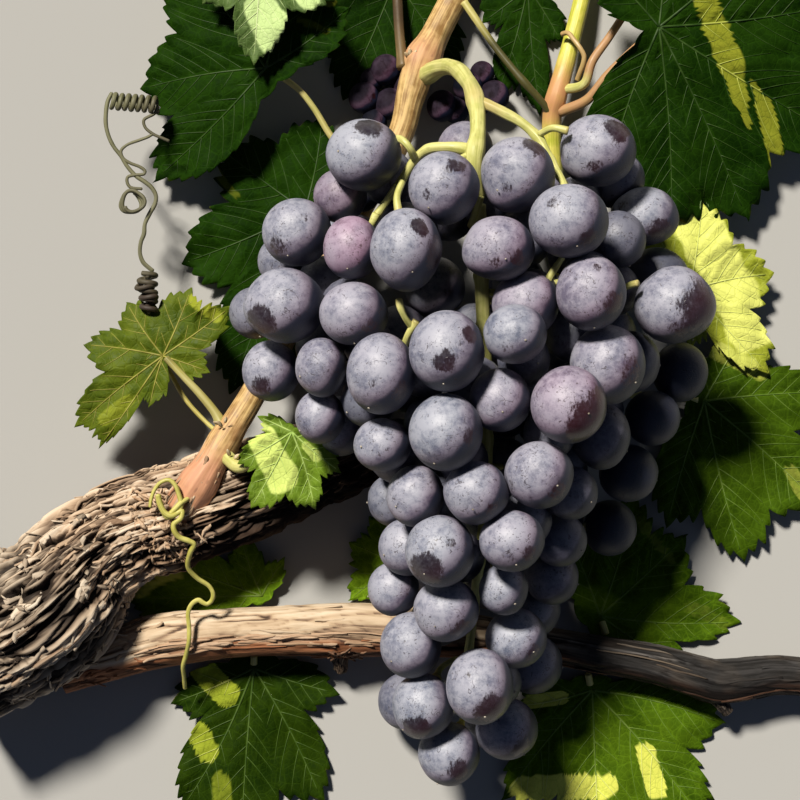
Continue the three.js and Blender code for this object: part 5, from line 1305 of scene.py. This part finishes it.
def leaf_piece(name, leaf, seed):
    count, rings, tooth = SETTINGS[name]
    ju, jv, jz = leaf["at"]
    size = max(math.hypot(u - ju, v - jv) for u, v in leaf["tips"])
    fine = np.linspace(-math.pi, math.pi, 6001)[:-1]
    plain, jag = outline(leaf, fine, tooth, seed)
    rim = np.stack([jag * np.cos(fine), jag * np.sin(fine)], -1)
    s = np.concatenate([[0], np.cumsum(np.hypot(*np.diff(np.vstack([rim, rim[:1]]), axis=0).T))])
    pick = np.interp(np.linspace(0, s[-1], count + 1)[:-1], s, np.append(fine, fine[0] + 2 * np.pi))
    pick = (pick + np.pi) % (2 * np.pi) - np.pi
    pick = np.sort(pick)
    plain, jag = outline(leaf, pick, tooth, seed)
    mains, sides = vein_lines(leaf, tooth, seed)
    share = np.linspace(0, 1, rings + 1)[1:] ** 0.92
    w = smooth(0.74, 1.0, share)[:, None]
    rr = share[:, None] * (plain[None] * (1 - w) + jag[None] * w)
    u, v = ju + rr * np.cos(pick)[None], jv + rr * np.sin(pick)[None]
    u, v = np.concatenate([[ju], u.ravel()]), np.concatenate([[jv], v.ravel()])
    q = np.concatenate([[0], np.repeat(share, count)])
    flat = np.stack([u, v], -1)
    near_main = far(flat, [m[0] for m in mains]) * UNIT
    near_side = far(flat, [m[0] for m in sides]) * UNIT
    crisp = leaf.get("crisp", 1.0)
    look = LOOKS.get(name, leaf["colour"])
    pleat = 0.55 * (1 - np.exp(-(near_side / 1.7) ** 2)) + 0.9 * (1 - np.exp(-(near_main / 2.6) ** 2))
    wave = fbm(np.stack([u / 34, v / 34, 0 * u + seed], -1), 3, seed)
    curl = smooth(0.70, 1.0, q) * fbm(np.stack([u / 26, v / 26, 0 * u + 3], -1), 2, seed + 3)
    thin = min(1.0, leaf["droop"] / 3.0)
    z = leaf_height(leaf, u, v, size) + crisp * (pleat * (0.45 + 0.45 * thin) + wave * (0.5 + 0.9 * thin) + curl * (0.7 + 2.2 * thin))
    z = np.maximum(z, 0.55)
    half = 0.24
    top, low = at(u, v, z + half), at(u, v, np.maximum(0.12, z - half - 0.45 * smooth(1.0, 0.86, q)))
    n = len(u)
    k = np.arange(count)
    k2 = (k + 1) % count
    faces = [np.stack([np.zeros(count, int), 1 + k, 1 + k2], -1)]
    for j in range(rings - 1):
        a, b = 1 + j * count, 1 + (j + 1) * count
        faces += [np.stack([a + k, b + k, b + k2], -1), np.stack([a + k, b + k2, a + k2], -1)]
    front_f = np.vstack(faces)
    # the underside, with fewer rings
    keep = [j for j in range(rings) if j % 2 == (rings - 1) % 2]
    low_v = np.vstack([low[:1]] + [low[1 + j * count:1 + (j + 1) * count] for j in keep])
    base = n
    back = [np.stack([np.full(count, base), base + 1 + k2, base + 1 + k], -1)]
    for j in range(len(keep) - 1):
        a, b = base + 1 + j * count, base + 1 + (j + 1) * count
        back += [np.stack([a + k, b + k2, b + k], -1), np.stack([a + k, a + k2, b + k2], -1)]
    back_f = np.vstack(back)
    a, b = 1 + (rings - 1) * count, base + 1 + (len(keep) - 1) * count
    rim_f = np.vstack([np.stack([a + k, b + k, b + k2], -1), np.stack([a + k, b + k2, a + k2], -1)])
    verts = np.vstack([top, low_v])
    f = np.vstack([front_f, rim_f, back_f])
    mats = np.concatenate([np.zeros(len(front_f) + len(rim_f), int), np.ones(len(back_f), int)])
    low_i = np.concatenate([[0]] + [1 + j * count + k for j in keep])
    sun = suns(name, u, v)
    edge = smooth(0.93, 1.0, q) * 0.62 + 0.5 * smooth(0.35, 0.75, fbm(np.stack([u / 11, v / 11, 0 * u + 9], -1), 3, seed + 7)) * leaf.get("worn", 0.35)
    vein = np.exp(-(near_main / 0.55) ** 2) + 0.5 * np.exp(-(near_side / 0.40) ** 2)
    col = lambda x: np.concatenate([x, x[low_i]])
    bag = Bag()
    bag.add(verts, f, mats, sun=col(sun), edge=col(edge), vein=col(np.clip(vein, 0, 1)))
    build(bag, name + "_blade", [M["leaf_" + look], M["leaf_back"]], [name])
    # veins stand on the blade
    tree = BVHTree.FromPolygons([tuple(x) for x in verts[:n]], [tuple(x) for x in front_f])
    bag = Bag()
    for line, strength, length in mains + sides:
        steps = max(5, int(length / 4.5))
        p3, s, uu, vv = even(np.column_stack([line, np.zeros(len(line))]), steps, line[:, 0], line[:, 1])
        here = at(uu, vv, np.interp(s, [0, 1], [jz, jz]))
        # step to the surface: the place depends on its own height a little
        z0 = np.full(steps, jz, float)
        for _ in range(2):
            here = at(uu, vv, z0)
            for i in range(steps):
                hit = tree.ray_cast(Vector((here[i, 0], here[i, 1], 200.0)), Vector((0, 0, -1)))
                if hit[0] is not None:
                    z0[i] = hit[0].z
        here = at(uu, vv, z0)
        t = np.linspace(0, 1, steps)
        wide = strength * 0.40 * (1 - 0.75 * t) * (size / 150) ** 0.5 + 0.05
        d = unit(np.gradient(here[:, :2], axis=0))
        nrm = np.stack([-d[:, 1], d[:, 0], np.zeros(steps)], -1)
        up = np.array([0, 0, 1.0])
        ring = [here - nrm * wide[:, None] - up * 0.10, here - nrm * (wide * 0.45)[:, None] + up * (0.10 + 0.5 * wide)[:, None], here + nrm * (wide * 0.45)[:, None] + up * (0.10 + 0.5 * wide)[:, None],
                here + nrm * wide[:, None] - up * 0.10]
        vx = np.stack(ring, 1).reshape(-1, 3)
        fx = grid_faces(steps, 4)
        e = (steps - 1) * 4
        fx = np.concatenate([fx, [[0, 2, 1], [0, 3, 2]], [[e, e + 1, e + 2], [e, e + 2, e + 3]]])
        bag.add(vx, fx, 0, sun=np.repeat(suns(name, uu, vv), 4))
    build(bag, name + "_veins", [M["vein_" + look]])


for i, (name, leaf) in enumerate(LEAVES.items()):
    leaf_piece(name, leaf, 400 + 13 * i)


# ------------------------------------------------------------------ tendrils
def strand(bag, rows, width, mat=0, sides=9, per=3, taper=(1.0, 1.0), seed=0, tone=(0.0, 0.0)):
    rows = np.asarray(rows, float)
    t = np.linspace(0, 1, len(rows) * 12)
    p = catmull(at(rows[:, 0], rows[:, 1], rows[:, 2]), t)
    n = max(12, int(len(rows) * per))
    p, s = even(p, n)
    x = np.linspace(0, 1, n)
    r = width / 2 * (taper[0] + (taper[1] - taper[0]) * x) * (1 + 0.10 * fbm(np.stack([s / 3.0, 0 * s, 0 * s + seed], -1), 2, seed))
    v, f = sweep(p, r, sides, dome=0.5)
    tn = tone[0] + (tone[1] - tone[0]) * x
    tn = np.concatenate([np.repeat(tn, sides), tn[:1], tn[-1:]])
    flow = np.concatenate([np.stack([np.repeat(s, sides), np.tile(np.cos(np.arange(sides)), n), np.tile(np.sin(np.arange(sides)), n)], -1), np.zeros((2, 3))]) / 1000
    bag.add(v, f, mat, flow=flow, tone=tn)


def coil(a, b, turns, radius, z, n=26, start=0.0, grow=1.0):
    """Rows of a spiral spring from a to b on the sheet."""
    a, b = np.array(a, float), np.array(b, float)
    axis = unit(b - a)
    side = np.array([-axis[1], axis[0]])
    rows = []
    for i in range(int(turns * n) + 1):
        t = i / (turns * n)
        w = start + 2 * math.pi * turns * t
        rad = radius * (1 + (grow - 1) * t)
        q = a + (b - a) * t + side * rad * math.cos(w)
        rows.append([q[0], q[1], z + rad * UNIT * math.sin(w)])
    return rows


LOW_Z = ([480, 505, 531, 550, 567, 583, 600, 640, 668, 690], [37, 36.5, 36.5, 34, 30, 26, 24.5, 23.5, 18, 10])
low_z = lambda v: float(np.interp(v, *LOW_Z))
bag = Bag()
loop = [(150, 507), (151, 500), (154, 491), (160, 483), (169, 480), (175, 485), (179, 495), (181, 503), (179, 511), (172, 516), (165, 513), (160, 504), (158, 495)]
strand(bag, [[u, v, low_z(v) + (1.2 if i > 8 else 0) + 0.12 * i] for i, (u, v) in enumerate(loop)], 1.9, per=8, seed=1, taper=(0.55, 1.0))
run = [(158, 495), (162, 508), (167, 517), (174, 515), (182, 511), (181, 518), (174, 524), (174, 530), (179, 537), (189, 541), (194, 544), (190, 553), (188, 567), (197, 578), (209, 586), (213, 593), (212, 600), (207, 604), (202, 602),
       (199, 600), (194, 602), (190, 607), (188, 614), (189, 626), (189, 640), (186, 655), (183, 666), (184, 677), (185, 688)]
strand(bag, [[u, v, low_z(v) + 1.6 - 0.05 * i] for i, (u, v) in enumerate(run)], 1.78, per=8, seed=2, taper=(1.0, 0.74))
# its foot on the shoot
strand(bag, [[u, v, z] for u, v, z in [(190, 497, 34), (186, 500, 36.2), (181, 503, 37.6), (176, 508, 38.0), (170, 514, 37.9)]], 1.7, per=8, seed=3)
build(bag, "lower_tendril_strand", [M["tendril"]], ["lower_tendril"])

bag = Bag()
z = 22.5
strand(bag, coil((112, 101), (158, 105), 7, 6.8, z), 1.6, mat=1, per=2, seed=5, tone=(0.1, 0.6))
strand(bag, [[u, v, z + 0.4] for u, v in [(112, 93), (108, 101), (106, 113), (106, 125), (109, 137), (114, 147), (121, 156), (127, 166), (136, 176), (145, 182), (152, 188), (156, 196), (155, 204), (150, 213), (145, 224),
                                          (144, 234), (141, 242), (140, 253), (143, 262), (148, 267), (153, 271)]], 1.35, mat=1, per=6, seed=6, tone=(0.1, 0.25))
strand(bag, coil((147, 273), (149, 311), 4.4, 8.6, z + 1.5, start=1.0, grow=0.8), 1.7, mat=1, per=2, seed=7, tone=(0.7, 1.0))
strand(bag, coil((141, 279), (153, 305), 2.7, 8.4, z + 2.5, start=2.4, grow=0.7), 1.6, mat=1, per=2, seed=8, tone=(0.8, 1.0))
strand(bag, [[u, v, z + 0.3] for u, v in [(158, 105), (155, 113), (144, 120), (145, 127), (153, 134), (162, 138), (169, 141)]], 1.0, mat=1, per=7, seed=9, tone=(0.4, 0.6))
strand(bag, [[u, v, z + 0.2 + 0.06 * i] for i, (u, v) in enumerate([(153, 134), (148, 137), (140, 140), (127, 145), (121, 151), (123, 158), (130, 163), (140, 167), (145, 171), (144, 174), (136, 175), (128, 177), (127, 181), (130, 187), (142, 189)])], 1.0, mat=1, per=7, seed=10, tone=(0.2, 0.4))
curl = []
for i in range(70):
    w = 2 * math.pi * 2.6 * i / 69 - 1.2
    rad = 10.6 + 0.8 * math.sin(3.1 * w)
    curl.append([130 + 0.06 * i + rad * math.cos(w), 203 - 0.03 * i + rad * math.sin(w), z + 0.2 + 0.055 * i])
strand(bag, curl, 1.15, mat=1, per=2, seed=11, tone=(0.2, 0.5))
strand(bag, [[u, v, zz] for u, v, zz in [(149, 311, 23), (150, 318, 22), (158, 350, 16), (172, 376, 15), (186, 400, 16), (206, 422, 18), (222, 436, 21)]], 1.5, mat=0, per=8, seed=12, tone=(0.7, 0.2))
build(bag, "upper_tendril_strand", [M["tendril"], M["dry"]], ["upper_tendril"])

# ------------------------------------------------------------------ bud scales and a bud by the young leaf
bag = Bag()
for i, (u, v, z, ang, ln, wd) in enumerate([(222, 427, 33.2, 4.2, 2.4, 1.1), (220, 424, 33.0, 3.5, 2.2, 1.0), (225, 423, 33.4, 5.0, 2.2, 1.0), (234, 459, 35.6, 5.6, 2.6, 1.3), (230, 456, 35.4, 4.4, 2.4, 1.2),
                                            (411, 57, 17.0, 4.5, 2.6, 1.5), (409, 58, 16.6, 4.0, 2.2, 1.2), (414, 57, 17.2, 5.1, 2.2, 1.2)]):
    base = at(u, v, z)
    d = np.array([math.cos(ang), -math.sin(ang), 0.35])
    side = unit(np.cross(d, [0, 0, 1]))
    t = np.linspace(0, 1, 9)
    mid = base + np.outer(t * ln, unit(d)) + np.outer(0.9 * np.sin(t * 1.4), [0, 0, 1])
    wide = wd * 0.5 * np.sin(np.pi * np.clip(0.12 + 0.86 * t, 0, 1)) ** 0.8 + 0.05
    up = np.array([0, 0, 0.16])
    ring = np.stack([mid - side * wide[:, None], mid + up, mid + side * wide[:, None], mid - up], 1).reshape(-1, 3)
    f = grid_faces(9, 4)
    e = 8 * 4
    f = np.concatenate([f, [[0, 2, 1], [0, 3, 2]], [[e, e + 1, e + 2], [e, e + 2, e + 3]]])
    bag.add(ring, f, 0)
build(bag, "bud_scales", [M["bract"]])

# ------------------------------------------------------------------ floor, light and camera
g = Mat("studio_floor")
g.set(Base_Color=(0.37, 0.367, 0.358), Roughness=1.0, Specular_IOR_Level=0.0)
me = bpy.data.meshes.new("studio_floor")
me.from_pydata([(-6, -6, 0), (6, -6, 0), (6, 6, 0), (-6, 6, 0)], [], [(0, 1, 2, 3)])
me.materials.append(g.m)
floor = bpy.data.objects.new("studio_floor", me)
bpy.context.scene.collection.objects.link(floor)

# a pale backdrop, which gives little light of its own
world = bpy.data.worlds.new("studio")
world.use_nodes = True
sky = world.node_tree.nodes["Background"]
path = world.node_tree.nodes.new("ShaderNodeLightPath")
tone = world.node_tree.nodes.new("ShaderNodeMix")
tone.data_type = "RGBA"
tone.inputs[6].default_value = (0.030, 0.039, 0.063, 1)
tone.inputs[7].default_value = (0.57, 0.54, 0.475, 1)
world.node_tree.links.new(path.outputs["Is Camera Ray"], tone.inputs[0])
world.node_tree.links.new(tone.outputs[2], sky.inputs[0])
sky.inputs[1].default_value = 1.0
bpy.context.scene.world = world


def lamp(name, place, angle, power, colour):
    """A far light that shines from that way, as wide as the angle says."""
    data = bpy.data.lights.new(name, "SUN")
    data.angle = angle
    data.energy = power
    data.color = colour
    ob = bpy.data.objects.new(name, data)
    bpy.context.scene.collection.objects.link(ob)
    ob.location = place
    ob.rotation_euler = (-Vector(place)).to_track_quat("-Z", "Y").to_euler()
    return ob


lamp("key", (-0.56, 0.89, 1.23), 0.15, 6.3, (1.0, 0.94, 0.83))
lamp("fill", (1.25, -0.45, 0.50), 1.0, 0.12, (0.68, 0.81, 1.0))

camera = bpy.data.cameras.new("camera")
camera.sensor_width = 36
camera.lens = 36 * EYE / (800 * UNIT)
camera.clip_start = 0.01
eye = bpy.data.objects.new("camera", camera)
bpy.context.scene.collection.objects.link(eye)
eye.location = (-CENTRE_X / 1000, -CENTRE_Y / 1000, (SHEET_Z + EYE) / 1000)
eye.rotation_euler = (0, 0, 0)
bpy.context.scene.camera = eye
bpy.context.scene.view_settings.view_transform = "Standard"
bpy.context.scene.view_settings.look = "None"

print("triangles", sum(n for _, n in made), "pieces", len(made), "largest", max(made, key=lambda x: x[1]))
